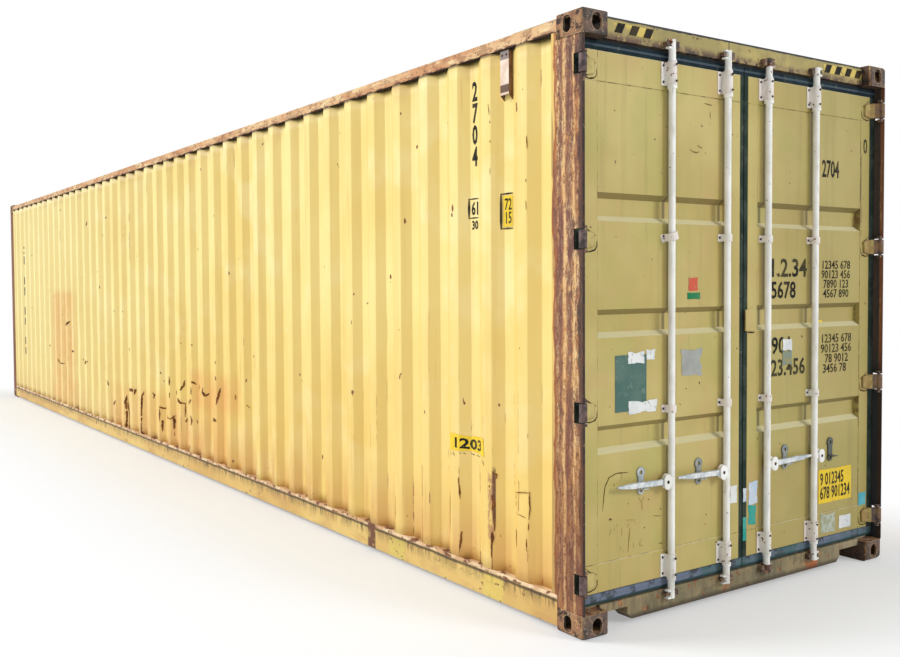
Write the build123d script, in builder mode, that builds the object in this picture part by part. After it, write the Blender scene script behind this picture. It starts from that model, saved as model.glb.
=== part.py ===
from build123d import *
import os

# Forty-foot high-cube freight container, in millimetres.
# X runs along its length and +X is the door end. The origin is on the ground, below its middle.
# Left and right are those of a person who stands outside and faces the doors: left is -Y.

# Overall size
length = 12192
width = 2438
height = 2896

# Corner castings and their apertures
casting_long = 178
casting_wide = 162
casting_tall = 118
casting_cap = 28
casting_wall = 12
casting_corner = 14
casting_edge = 10
casting_rim = 8
slot_long = 124
slot_wide = 63.5
slot_inset_end = 103.5
slot_inset_side = 89.5
side_slot_wide = 51
end_slot_wide = 63.5
face_slot_tall = 79.5

# Frame faces, measured inwards from the outside of the castings
frame_inset = 4
rail_top_drop = 22
header_top_drop = 6
rail_underside = 24
sheet_inset = 7

# Door corner posts: a pressed outer sheet with a rolled channel behind the doors
post_sheet = 6
post_side_wide = 208
post_lip = 12
post_bend = 9
post_front_setback = 3
stop_channel_web = 113
stop_channel_thick = 12
stop_channel_bend = 10
stop_channel_setback = 76

# Front corner posts
front_post_side = 174
front_post_return = 40

# Door opening, with a sill and a header that step back behind the door seals
opening_wide = 2340
header_tall = 146
header_thick = 5
end_frame_setback = 56
seal_step = 20
seal_recess_tall = 36
sill_deep = 92
sill_thick = 6
notch_wide = 185
notch_top = 90
notch_corner = 30

# Side rails
top_rail_size = 60
top_rail_thick = 3
bottom_rail_top = 175
bottom_rail_thick = 4.5
bottom_rail_upper_flange = 48
bottom_rail_lower_flange = 30

# Corrugated side walls
side_outer_flat = 72
side_slope = 68
side_inner_flat = 70
side_end_slope = 39
side_depth = 36
side_thick = 1.6

# Corrugated front wall
front_outer_flat = 110
front_slope = 18
front_inner_flat = 104
front_depth = 45.6
front_thick = 2

# Roof sheet with closed ridges pressed up across it
roof_thick = 2
roof_edge_inset = 10
ridge_foot = 118
ridge_gap = 91
ridge_tall = 14
ridge_taper = 44
ridge_end_inset = 105
ridge_end_flat = 340
corner_plate_long = 320
corner_plate_wide = 420
corner_plate_thick = 3

# Floor and underframe
floor_top = 165
floor_thick = 28
cross_member_thick = 4
cross_member_flange = 45
cross_member_pitch = 305
tunnel_long = 3315
tunnel_wide = 1029
tunnel_tall = 120
tunnel_sheet = 4
tunnel_bow_wide = 60
tunnel_bow_pitch = 280

# Door leaves
leaf_setback = 62
leaf_deep = 50
leaf_tube = 3
leaf_side_gap = 17
leaf_centre_gap = 33
leaf_end_gap = 23
outer_stile_wide = 88
inner_stile_wide = 80
top_member_tall = 141
bottom_member_tall = 138
panel_setback = 2
panel_thick = 2
band_count = 3
band_pitch = 549
band_mouth = 134
band_slope = 26
band_depth = 32

# Door seals
gasket_base = 11
gasket_deep = 40
gasket_lip = 6
gasket_front_setback = 2
gasket_clearance = 5.5
gasket_post_cover = 52
gasket_centre_gap = 3.2

# Hinges
hinge_low = 258
hinge_top_drop = 250
hinge_count = 4
hinge_tall = 85
hinge_barrel = 19
hinge_pin = 9
hinge_pin_clearance = 1
hinge_blade_thick = 10
hinge_blade_reach = 60
hinge_blade_tip = 66
hinge_gap = 6
hinge_lug_tall = 14
hinge_notch_deep = 63

# Locking bars with their collars and cams
bar_radius = 17
bar_stand_off = 28
bar_inner_y = 167
bar_outer_y = 588
bar_clearance = 0.8
collar_radius = 24
collar_tall = 16
end_collar_radius = 22
end_collar_tall = 13
cam_tall = 46
cam_lap = 2
cam_ear = 36
cam_thick = 22
cam_corner = 5
cam_jaw_deep = 24
cam_jaw_gap = 28

# Keepers on the header and the sill: a tongue and a wider lug by every cam
tongue_offset = 31
tongue_wide = 18
tongue_tall = 18
lug_offset = 36
lug_wide = 20
lug_tall = 36
keeper_corner = 6
keeper_deep = 28

# Bearings and guides that hold the bars
bearing_strip = 5
bearing_foot = 27
bearing_tall = 114
bearing_inset = 3
guide_strip = 5
guide_foot = 18
guide_tall = 38
guide_low_rise = 840
guide_high_drop = 850
loose_guide_tilt = 18
loose_guide_slack = 7.6

# Handles and their catches
handle_z = 671
handle_pivot_offset = 45
handle_long = 338
handle_thick = 10
handle_root = 15
handle_grip = 14
handle_tip = 6
handle_bend = 110
handle_grip_end = 230
handle_bend_rise = 3
handle_grip_rise = 6
handle_tip_rise = 10
handle_front_gap = 2
pivot_radius = 8
pivot_hole = 7
hub_offset = 33
hub_wide = 57
hub_tall = 75
hub_thick = 10
hub_cheek_wide = 48
hub_cheek_tall = 73
hub_cheek_corner = 14
hub_cheek_thick = 6
hub_web_start = 8
hub_web_end = 26
hub_web_tall = 34
catch_offset = 145
catch_lobe = 27
catch_rise = 58
catch_waist = 38
catch_tail = 21
catch_tail_drop = 30
catch_hole = 9
catch_thick = 5
catch_ledge_wide = 44
catch_ledge_drop = 5

# Plate that covers the meeting edge, and the air vents
cover_plate_wide = 78
cover_plate_tall = 113
cover_plate_drop = 11
cover_plate_thick = 8
cover_plate_stand_off = 6
vent_wide = 66
vent_tall = 247
vent_deep = 28
vent_drop = 208
vent_thick = 2

# Positions worked out from the sizes above
end_x = length / 2
side_y = width / 2
frame_end_x = end_x - frame_inset
frame_side_y = side_y - frame_inset
sheet_side_y = side_y - sheet_inset
sheet_end_x = end_x - sheet_inset
rail_top_z = height - rail_top_drop
header_top_z = height - header_top_drop
wall_top_z = rail_top_z - top_rail_size
casting_inner_x = end_x - casting_long
casting_inner_y = side_y - casting_wide
casting_under_z = height - casting_tall

opening_top_z = height - header_tall
opening_y = opening_wide / 2
end_frame_x = end_x - end_frame_setback
recess_x = end_frame_x - seal_step
header_step_z = opening_top_z + seal_recess_tall
sill_step_z = floor_top - seal_recess_tall
sill_back_x = end_frame_x - sill_deep

leaf_x = end_x - leaf_setback
leaf_back_x = leaf_x - leaf_deep
panel_x = leaf_x - panel_setback
leaf_outer_y = opening_y - leaf_side_gap
leaf_inner_y = leaf_centre_gap
leaf_bottom_z = floor_top + leaf_end_gap
leaf_top_z = opening_top_z - leaf_end_gap
leaf_middle_z = (leaf_bottom_z + leaf_top_z) / 2

hinge_x = end_x - hinge_barrel
hinge_y = side_y - hinge_barrel
hinge_pitch = (height - hinge_top_drop - hinge_low) / (hinge_count - 1)
hinge_levels = [hinge_low + hinge_pitch * step for step in range(hinge_count)]

post_rear_x = end_x - post_side_wide - post_front_setback
post_front_x = end_x - post_front_setback
post_inner_face_y = frame_side_y - post_sheet
stop_front_x = end_x - stop_channel_setback
stop_rear_x = stop_front_x - stop_channel_web
front_post_rear_x = -frame_end_x + front_post_side
front_frame_back_x = -frame_end_x + top_rail_size

bar_x = leaf_x + bar_stand_off
bar_top_z = header_step_z - cam_lap + cam_tall
bar_bottom_z = sill_step_z + cam_lap - cam_tall
high_cam_z = bar_top_z - cam_tall / 2
low_cam_z = bar_bottom_z + cam_tall / 2
bearing_low_z = leaf_bottom_z + bearing_inset
bearing_high_z = leaf_top_z - bearing_inset - bearing_tall

side_pitch = side_outer_flat + 2 * side_slope + side_inner_flat
vent_x = post_rear_x - side_end_slope - side_pitch - side_inner_flat / 2
vent_z = height - vent_drop


def save(part, name):
    """Name a finished piece and write it to its own file."""
    part.label = name
    export_step(part, f"parts/{name}.step")


def pair(maker):
    """The left and the right copy of a piece."""
    with BuildPart() as both:
        add(maker(-1))
        add(maker(1))
    return both.part


def shell(body, wall):
    """A hollow piece: its outer body less the same body drawn smaller by its wall."""
    with BuildPart() as hollow:
        add(body(0))
        add(body(wall), mode=Mode.SUBTRACT)
    return hollow.part


def box_between(x_range, y_range, z_range, mode=Mode.ADD):
    """A block between two limits along each axis."""
    centre = [sum(limits) / 2 for limits in (x_range, y_range, z_range)]
    size = [abs(limits[1] - limits[0]) for limits in (x_range, y_range, z_range)]
    with Locations(tuple(centre)):
        Box(*size, mode=mode)


def facing_doors(x, y, z):
    """A plane across the length at x: its X is the part's Y and its Y is the part's Z."""
    return Plane((x, y, z), x_dir=(0, 1, 0), z_dir=(1, 0, 0))


def facing_left(y):
    """A plane along the length at y: its X is the part's X and its Y is the part's Z."""
    return Plane((0, y, 0), x_dir=(1, 0, 0), z_dir=(0, -1, 0))


def corrugation(start, run, end_slope, inner, slope, outer, depth):
    """Points (distance, depth) of a folded sheet that starts and ends on its outer line."""
    pitch = inner + 2 * slope + outer
    whole = int((run - 2 * end_slope) / pitch)
    points = [(start, 0)]
    here = start + end_slope
    for _ in range(whole):
        points += [(here, depth), (here + inner, depth)]
        points += [(here + inner + slope, 0), (here + inner + slope + outer, 0)]
        here += pitch
    points += [(here, depth), (start + run - end_slope, depth), (start + run, 0)]
    return points


# Corner castings: hollow blocks with an aperture in each outward face
def corner_casting(end, side, level):
    """One casting; end, side and level are +1 or -1 for its corner."""
    x_face = end * end_x
    y_face = side * side_y
    z_face = height if level > 0 else 0
    x_back = x_face - end * casting_long
    y_back = y_face - side * casting_wide
    z_back = z_face - level * casting_tall
    slot_x = x_face - end * slot_inset_end
    slot_y = y_face - side * slot_inset_side
    slot_z = (z_face + z_back) / 2
    corner = (x_face, y_face, slot_z)
    with BuildPart() as casting:
        box_between((x_back, x_face), (y_back, y_face), (z_back, z_face))
        outermost = casting.edges().filter_by(Axis.Z).sort_by_distance(corner)[0]
        fillet(outermost, radius=casting_corner)
        others = casting.edges().filter_by(Axis.Z).sort_by_distance(corner)[2:]
        fillet(others, radius=casting_edge)
        rim = casting.faces().sort_by(Axis.Z)[-1 if level > 0 else 0].edges()
        fillet(rim, radius=casting_rim)
        box_between(
            (x_back + end * casting_wall, x_face - end * casting_wall),
            (y_back + side * casting_wall, y_face - side * casting_wall),
            (z_back + level * casting_wall, z_face - level * casting_cap),
            mode=Mode.SUBTRACT,
        )
        with BuildSketch(Plane((slot_x, slot_y, z_face), x_dir=(1, 0, 0), z_dir=(0, 0, level))):
            SlotOverall(slot_long, slot_wide)
        extrude(amount=-casting_cap, mode=Mode.SUBTRACT)
        with BuildSketch(Plane((slot_x, y_face, slot_z), x_dir=(0, 0, 1), z_dir=(0, side, 0))):
            SlotOverall(face_slot_tall, side_slot_wide)
        extrude(amount=-casting_wall, mode=Mode.SUBTRACT)
        with BuildSketch(Plane((x_face, slot_y, slot_z), x_dir=(0, 0, 1), z_dir=(end, 0, 0))):
            SlotOverall(face_slot_tall, end_slot_wide)
        extrude(amount=-casting_wall, mode=Mode.SUBTRACT)
    return casting.part


def casting_pair(end, level):
    """The two castings of one edge of the container."""
    with BuildPart() as castings:
        add(corner_casting(end, -1, level))
        add(corner_casting(end, 1, level))
    return castings.part


# Door corner posts, with a notch in the outer sheet for each hinge
def door_post(side):
    """Pressed outer sheet with its front lip, and the channel that stops the door."""
    lip_y = frame_side_y - post_lip
    lip_back_x = post_front_x - post_sheet
    web_y = opening_y + stop_channel_thick
    notch_half = hinge_tall / 2 + hinge_gap
    with BuildPart() as post:
        with BuildSketch(Plane.XY.offset(casting_tall)) as sheet:
            with BuildLine():
                Polyline(
                    (post_rear_x, side * frame_side_y),
                    (post_front_x, side * frame_side_y),
                    (post_front_x, side * lip_y),
                    (lip_back_x, side * lip_y),
                    (lip_back_x, side * post_inner_face_y),
                    (post_rear_x, side * post_inner_face_y),
                    close=True,
                )
            make_face()
            outer_bend = sheet.vertices().sort_by_distance((post_front_x, side * frame_side_y, 0))[0]
            fillet(outer_bend, radius=post_bend)
            inner_bend = sheet.vertices().sort_by_distance((lip_back_x, side * post_inner_face_y, 0))[0]
            fillet(inner_bend, radius=post_bend - post_sheet)
        with BuildSketch(Plane.XY.offset(casting_tall)) as channel:
            with BuildLine():
                Polyline(
                    (stop_rear_x, side * opening_y),
                    (stop_front_x, side * opening_y),
                    (stop_front_x, side * post_inner_face_y),
                    (stop_front_x - stop_channel_thick, side * post_inner_face_y),
                    (stop_front_x - stop_channel_thick, side * web_y),
                    (stop_rear_x + stop_channel_thick, side * web_y),
                    (stop_rear_x + stop_channel_thick, side * post_inner_face_y),
                    (stop_rear_x, side * post_inner_face_y),
                    close=True,
                )
            make_face()
            for bend_x in (stop_rear_x, stop_front_x):
                bend = channel.vertices().sort_by_distance((bend_x, side * opening_y, 0))[0]
                fillet(bend, radius=stop_channel_bend)
        extrude(amount=height - 2 * casting_tall)
        box_between(
            (post_rear_x, casting_inner_x),
            (side * opening_y, side * frame_side_y),
            (casting_tall, bottom_rail_top),
            mode=Mode.SUBTRACT,
        )
        box_between(
            (post_rear_x, casting_inner_x),
            (side * post_inner_face_y, side * frame_side_y),
            (casting_under_z, wall_top_z),
        )
        for level in hinge_levels:
            box_between(
                (end_x - hinge_notch_deep, end_x),
                (side * (lip_y - post_sheet), side * side_y),
                (level - notch_half, level + notch_half),
                mode=Mode.SUBTRACT,
            )
    return post.part


def hinge_pins():
    """The lugs inside each notch and the pin between them."""
    lug_start = hinge_tall / 2 + hinge_gap
    lug_end = lug_start + hinge_lug_tall
    lip_back_x = post_front_x - post_sheet
    bend = post_bend - post_sheet
    with BuildPart() as pins:
        for side in (-1, 1):
            for level in hinge_levels:
                with BuildSketch(Plane((hinge_x, side * hinge_y, level - lug_end))):
                    Circle(hinge_pin)
                extrude(amount=2 * lug_end)
                for start in (lug_start, -lug_end):
                    with BuildSketch(Plane.XY.offset(level + start)):
                        with BuildLine():
                            Polyline(
                                (hinge_x - hinge_barrel, side * post_inner_face_y),
                                (hinge_x - hinge_barrel, side * (hinge_y - hinge_pin)),
                                (hinge_x - hinge_pin, side * (hinge_y - 2 * hinge_pin)),
                                (lip_back_x, side * (hinge_y - 2 * hinge_pin)),
                                (lip_back_x, side * (post_inner_face_y - bend)),
                                (lip_back_x - bend, side * post_inner_face_y),
                                close=True,
                            )
                        make_face()
                    extrude(amount=hinge_lug_tall)
    return pins.part


# Front corner posts: a folded sheet open towards the inside
def front_post(side):
    return_x = -frame_end_x + front_post_return
    return_y = frame_side_y - front_post_return
    face_x = -frame_end_x + post_sheet
    with BuildPart() as post:
        with BuildSketch(Plane.XY.offset(casting_tall)) as section:
            with BuildLine():
                Polyline(
                    (front_post_rear_x, side * frame_side_y),
                    (-frame_end_x, side * frame_side_y),
                    (-frame_end_x, side * casting_inner_y),
                    (return_x, side * casting_inner_y),
                    (return_x, side * (casting_inner_y + post_sheet)),
                    (face_x, side * (casting_inner_y + post_sheet)),
                    (face_x, side * post_inner_face_y),
                    (front_post_rear_x - post_sheet, side * post_inner_face_y),
                    (front_post_rear_x - post_sheet, side * return_y),
                    (front_post_rear_x, side * return_y),
                    close=True,
                )
            make_face()
            outer_bend = section.vertices().sort_by_distance((-frame_end_x, side * frame_side_y, 0))[0]
            fillet(outer_bend, radius=post_bend)
            inner_bend = section.vertices().sort_by_distance((face_x, side * post_inner_face_y, 0))[0]
            fillet(inner_bend, radius=post_bend - post_sheet)
        extrude(amount=height - 2 * casting_tall)
    return post.part


# Door end: sill below the opening and header above it
def sill_body(inset):
    """The sill drawn smaller by the inset, cut away beside each casting, its ends left open."""
    back_x = sill_back_x + inset
    front_x = end_frame_x - inset
    step_x = recess_x - inset
    low_z = rail_underside + inset
    step_z = sill_step_z - inset
    top_z = floor_top - inset
    notch_y = casting_inner_y - notch_wide - inset
    with BuildPart() as body:
        with BuildSketch(facing_left(casting_inner_y)):
            with BuildLine():
                Polyline(
                    (back_x, low_z),
                    (front_x, low_z),
                    (front_x, step_z),
                    (step_x, step_z),
                    (step_x, top_z),
                    (back_x, top_z),
                    close=True,
                )
            make_face()
        extrude(amount=2 * casting_inner_y)
        box_between((back_x, step_x), (-opening_y, opening_y), (casting_tall + inset, top_z))
        for side in (-1, 1):
            with BuildSketch(facing_doors(front_x, 0, 0)):
                with BuildLine():
                    Polyline(
                        (side * casting_inner_y, rail_underside),
                        (side * casting_inner_y, notch_top + inset),
                        (side * notch_y, notch_top + inset),
                        (side * notch_y, rail_underside + notch_corner),
                        (side * (notch_y - notch_corner), rail_underside),
                        close=True,
                    )
                make_face()
            extrude(amount=-sill_deep, mode=Mode.SUBTRACT)
    return body.part


def header_body(inset):
    """The header drawn smaller by the inset; its lower part reaches the posts below the castings."""
    back_x = casting_inner_x + inset
    front_x = end_frame_x - inset
    step_x = recess_x - inset
    low_z = opening_top_z + inset
    step_z = header_step_z + inset
    top_z = header_top_z - inset
    with BuildPart() as body:
        with BuildSketch(facing_left(casting_inner_y)):
            with BuildLine():
                Polyline(
                    (back_x, low_z),
                    (step_x, low_z),
                    (step_x, step_z),
                    (front_x, step_z),
                    (front_x, top_z),
                    (back_x, top_z),
                    close=True,
                )
            make_face()
        extrude(amount=2 * casting_inner_y)
        box_between((back_x, step_x), (-opening_y, opening_y), (low_z, casting_under_z - inset))
    return body.part


# Front end: sill with the mouth of the gooseneck tunnel, header and corrugated wall
def front_sill():
    with BuildPart() as sill:
        box_between(
            (-frame_end_x, front_frame_back_x),
            (-casting_inner_y, casting_inner_y),
            (rail_underside, floor_top),
        )
        box_between(
            (-frame_end_x + sill_thick, front_frame_back_x),
            (-casting_inner_y, casting_inner_y),
            (rail_underside, floor_top - sill_thick),
            mode=Mode.SUBTRACT,
        )
        box_between(
            (-frame_end_x, front_frame_back_x),
            (-tunnel_wide / 2, tunnel_wide / 2),
            (rail_underside, tunnel_tall),
            mode=Mode.SUBTRACT,
        )
    return sill.part


def front_header_body(inset):
    """The header over the front wall, drawn smaller by the inset and open at its ends."""
    with BuildPart() as body:
        box_between(
            (-frame_end_x + inset, front_frame_back_x - inset),
            (-casting_inner_y, casting_inner_y),
            (wall_top_z + inset, header_top_z - inset),
        )
    return body.part


def front_wall():
    """Corrugated end wall between the front posts."""
    half = casting_inner_y
    profile = corrugation(
        -half, 2 * half, front_slope, front_inner_flat, front_slope, front_outer_flat, front_depth
    )
    outer = [(-sheet_end_x + depth, y) for y, depth in profile]
    inner = [(x + front_thick, y) for x, y in reversed(outer)]
    with BuildPart() as wall:
        with BuildSketch(Plane.XY.offset(floor_top)):
            with BuildLine():
                Polyline(*outer, *inner, close=True)
            make_face()
        extrude(amount=wall_top_z - floor_top)
    return wall.part


# Side walls, one folded sheet from post to post
def side_wall(side):
    run = post_rear_x - front_post_rear_x
    profile = corrugation(
        0, run, side_end_slope, side_inner_flat, side_slope, side_outer_flat, side_depth
    )
    outer = [(post_rear_x - along, side * (sheet_side_y - depth)) for along, depth in profile]
    inner = [(x, y - side * side_thick) for x, y in reversed(outer)]
    with BuildPart() as wall:
        with BuildSketch(Plane.XY.offset(bottom_rail_top)):
            with BuildLine():
                Polyline(*outer, *inner, close=True)
            make_face()
        extrude(amount=wall_top_z - bottom_rail_top)
    return wall.part


# Long rails between the castings
def top_rail(side):
    centre_y = side * (frame_side_y - top_rail_size / 2)
    centre_z = rail_top_z - top_rail_size / 2
    bore = top_rail_size - 2 * top_rail_thick
    with BuildPart() as rail:
        with BuildSketch(facing_doors(-casting_inner_x, centre_y, centre_z)):
            RectangleRounded(top_rail_size, top_rail_size, 2 * top_rail_thick)
            RectangleRounded(bore, bore, top_rail_thick, mode=Mode.SUBTRACT)
        extrude(amount=2 * casting_inner_x)
    return rail.part


def bottom_rail(side):
    """Channel with its web outwards and its flanges inwards."""
    web_y = frame_side_y - bottom_rail_thick
    upper_y = frame_side_y - bottom_rail_upper_flange
    lower_y = frame_side_y - bottom_rail_lower_flange
    with BuildPart() as rail:
        with BuildSketch(facing_doors(-casting_inner_x, 0, 0)) as section:
            with BuildLine():
                Polyline(
                    (side * upper_y, bottom_rail_top),
                    (side * frame_side_y, bottom_rail_top),
                    (side * frame_side_y, rail_underside),
                    (side * lower_y, rail_underside),
                    (side * lower_y, rail_underside + bottom_rail_thick),
                    (side * web_y, rail_underside + bottom_rail_thick),
                    (side * web_y, bottom_rail_top - bottom_rail_thick),
                    (side * upper_y, bottom_rail_top - bottom_rail_thick),
                    close=True,
                )
            make_face()
            for bend_z in (bottom_rail_top, rail_underside):
                bend = section.vertices().sort_by_distance((side * frame_side_y, bend_z, 0))[0]
                fillet(bend, radius=bottom_rail_thick)
        extrude(amount=2 * casting_inner_x)
    return rail.part


# Roof: a sheet on the rails with ridges pressed up across it, and thicker plates at its corners
def roof():
    half_y = frame_side_y - roof_edge_inset
    pitch = ridge_foot + ridge_gap
    run = 2 * (casting_inner_x - ridge_end_flat)
    count = int((run + ridge_gap) / pitch)
    with BuildPart() as sheet:
        box_between(
            (front_frame_back_x, casting_inner_x),
            (-half_y, half_y),
            (rail_top_z, rail_top_z + roof_thick),
        )
        for side in (-1, 1):
            box_between(
                (front_frame_back_x, -casting_inner_x),
                (side * casting_inner_y, side * half_y),
                (rail_top_z, rail_top_z + roof_thick),
                mode=Mode.SUBTRACT,
            )
        for level, mode in ((rail_top_z + roof_thick, Mode.ADD), (rail_top_z, Mode.SUBTRACT)):
            with BuildSketch(Plane.XY.offset(level)):
                with GridLocations(pitch, pitch, count, 1):
                    Rectangle(ridge_foot, 2 * (half_y - ridge_end_inset))
            extrude(amount=ridge_tall, taper=ridge_taper, mode=mode)
    return sheet.part


def roof_corner_plates():
    """Plates on the flat ends of the roof, beside each casting."""
    rim_y = frame_side_y - roof_edge_inset
    sheet_top_z = rail_top_z + roof_thick
    with BuildPart() as plates:
        for end in (-1, 1):
            for side in (-1, 1):
                box_between(
                    (end * (casting_inner_x - corner_plate_long), end * casting_inner_x),
                    (side * (rim_y - corner_plate_wide), side * rim_y),
                    (sheet_top_z, sheet_top_z + corner_plate_thick),
                )
    return plates.part


# Underframe: cross members between the rails, short ones beside the tunnel, and the floor on them
member_top_z = floor_top - floor_thick
member_bottom_z = rail_underside + bottom_rail_thick
member_end_y = frame_side_y - bottom_rail_thick
tunnel_rear_x = -frame_end_x + tunnel_long
tunnel_side_y = tunnel_wide / 2 + tunnel_sheet


def cross_members():
    """Rows of channels that stand on edge under the floor."""
    first_x = min(casting_inner_x, stop_rear_x) - cross_member_flange
    count = int((first_x + casting_inner_x) / cross_member_pitch) + 1
    with BuildPart() as members:
        for step in range(count):
            web_x = first_x - step * cross_member_pitch
            beside_tunnel = web_x < tunnel_rear_x + cross_member_flange
            spans = [(-member_end_y, member_end_y)]
            if beside_tunnel:
                spans = [(-member_end_y, -tunnel_side_y), (tunnel_side_y, member_end_y)]
            for start_y, end_y in spans:
                with BuildSketch(facing_left(end_y)):
                    with BuildLine():
                        Polyline(
                            (web_x, member_top_z),
                            (web_x + cross_member_flange, member_top_z),
                            (web_x + cross_member_flange, member_top_z - cross_member_thick),
                            (web_x + cross_member_thick, member_top_z - cross_member_thick),
                            (web_x + cross_member_thick, member_bottom_z + cross_member_thick),
                            (web_x + cross_member_flange, member_bottom_z + cross_member_thick),
                            (web_x + cross_member_flange, member_bottom_z),
                            (web_x, member_bottom_z),
                            close=True,
                        )
                    make_face()
                extrude(amount=end_y - start_y)
    return members.part


def tunnel_plate():
    """Sheet over the gooseneck tunnel."""
    with BuildPart() as plate:
        box_between(
            (front_frame_back_x, tunnel_rear_x),
            (-tunnel_side_y, tunnel_side_y),
            (tunnel_tall, tunnel_tall + tunnel_sheet),
        )
    return plate.part


def tunnel_side(side):
    """Upright sheet along one side of the tunnel."""
    with BuildPart() as sheet:
        box_between(
            (front_frame_back_x, tunnel_rear_x),
            (side * tunnel_wide / 2, side * tunnel_side_y),
            (member_bottom_z, tunnel_tall),
        )
    return sheet.part


def tunnel_bows():
    """Flat bows on the tunnel sheet that carry the floor."""
    bows = int((tunnel_rear_x - front_frame_back_x) / tunnel_bow_pitch)
    with BuildPart() as bars:
        for step in range(bows):
            bow_x = front_frame_back_x + (step + 0.5) * tunnel_bow_pitch
            box_between(
                (bow_x - tunnel_bow_wide / 2, bow_x + tunnel_bow_wide / 2),
                (-tunnel_side_y, tunnel_side_y),
                (tunnel_tall + tunnel_sheet, member_top_z),
            )
    return bars.part


def floor():
    half_y = frame_side_y - bottom_rail_upper_flange
    with BuildPart() as boards:
        box_between((front_frame_back_x, sill_back_x), (-half_y, half_y), (member_top_z, floor_top))
    return boards.part


# Air vents: a sheet hood on an inner flat of each side wall, open at its slanted foot
def vent_outline(side, wall):
    """Section of the hood, drawn smaller by the given wall."""
    back_y = sheet_side_y - side_depth
    front_y = back_y + vent_deep - wall
    foot_z = vent_z - vent_tall / 2
    top_z = vent_z + vent_tall / 2 - wall
    Polyline(
        (side * back_y, foot_z),
        (side * front_y, foot_z + vent_deep - wall),
        (side * front_y, top_z),
        (side * back_y, top_z),
        close=True,
    )


def vent(side):
    start_x = vent_x - vent_wide / 2
    with BuildPart() as hood:
        with BuildSketch(facing_doors(start_x, 0, 0)):
            with BuildLine():
                vent_outline(side, 0)
            make_face()
        extrude(amount=vent_wide)
        with BuildSketch(facing_doors(start_x + vent_thick, 0, 0)):
            with BuildLine():
                vent_outline(side, vent_thick)
            make_face()
        extrude(amount=vent_wide - 2 * vent_thick, mode=Mode.SUBTRACT)
    return hood.part


# Door leaves: a frame of tubes and channels around a corrugated panel
def leaf_frame(side):
    outer_y = side * leaf_outer_y
    inner_y = side * leaf_inner_y
    panel_outer_y = outer_y - side * outer_stile_wide
    panel_inner_y = inner_y + side * inner_stile_wide
    panel_bottom_z = leaf_bottom_z + bottom_member_tall
    panel_top_z = leaf_top_z - top_member_tall
    with BuildPart() as frame:
        box_between((leaf_back_x, leaf_x), (inner_y, outer_y), (leaf_bottom_z, leaf_top_z))
        box_between(
            (leaf_back_x, leaf_x),
            (panel_inner_y, panel_outer_y),
            (panel_bottom_z, panel_top_z),
            mode=Mode.SUBTRACT,
        )
        for start_y, end_y in ((inner_y, panel_inner_y), (panel_outer_y, outer_y)):
            box_between(
                (leaf_back_x + leaf_tube, leaf_x - leaf_tube),
                (start_y + side * leaf_tube, end_y - side * leaf_tube),
                (leaf_bottom_z, leaf_top_z),
                mode=Mode.SUBTRACT,
            )
        for start_z, end_z in ((leaf_bottom_z, panel_bottom_z), (panel_top_z, leaf_top_z)):
            box_between(
                (leaf_back_x, leaf_x - leaf_tube),
                (panel_inner_y, panel_outer_y),
                (start_z + leaf_tube, end_z - leaf_tube),
                mode=Mode.SUBTRACT,
            )
    return frame.part


def leaf_panel(side):
    """Sheet with horizontal bands pressed inwards."""
    outer = [(panel_x, leaf_bottom_z + bottom_member_tall)]
    for step in range(band_count):
        centre = leaf_middle_z + (step - (band_count - 1) / 2) * band_pitch
        mouth = band_mouth / 2
        root = mouth - band_slope
        outer += [(panel_x, centre - mouth), (panel_x - band_depth, centre - root)]
        outer += [(panel_x - band_depth, centre + root), (panel_x, centre + mouth)]
    outer += [(panel_x, leaf_top_z - top_member_tall)]
    inner = [(x - panel_thick, z) for x, z in reversed(outer)]
    run = leaf_outer_y - outer_stile_wide - leaf_inner_y - inner_stile_wide
    with BuildPart() as panel:
        with BuildSketch(facing_left(side * (leaf_inner_y + inner_stile_wide))):
            with BuildLine():
                Polyline(*outer, *inner, close=True)
            make_face()
        extrude(amount=-side * run)
    return panel.part


def leaf_gasket(side):
    """Rubber around the leaf: a base on its edge and a lip that covers the gap."""
    base_limits = (
        leaf_inner_y - gasket_base,
        leaf_outer_y + gasket_base,
        leaf_bottom_z - gasket_base,
        leaf_top_z + gasket_base,
    )
    lip_limits = (
        gasket_centre_gap,
        leaf_outer_y + gasket_post_cover,
        max(sill_step_z, casting_tall) + gasket_clearance,
        min(header_step_z, casting_under_z) - gasket_clearance,
    )
    lip_x = leaf_x - gasket_front_setback
    with BuildPart() as gasket:
        for limits, deep in ((base_limits, gasket_deep), (lip_limits, gasket_lip)):
            box_between(
                (lip_x - deep, lip_x),
                (side * limits[0], side * limits[1]),
                (limits[2], limits[3]),
            )
        box_between(
            (leaf_back_x, leaf_x),
            (side * leaf_inner_y, side * leaf_outer_y),
            (leaf_bottom_z, leaf_top_z),
            mode=Mode.SUBTRACT,
        )
    return gasket.part


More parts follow.
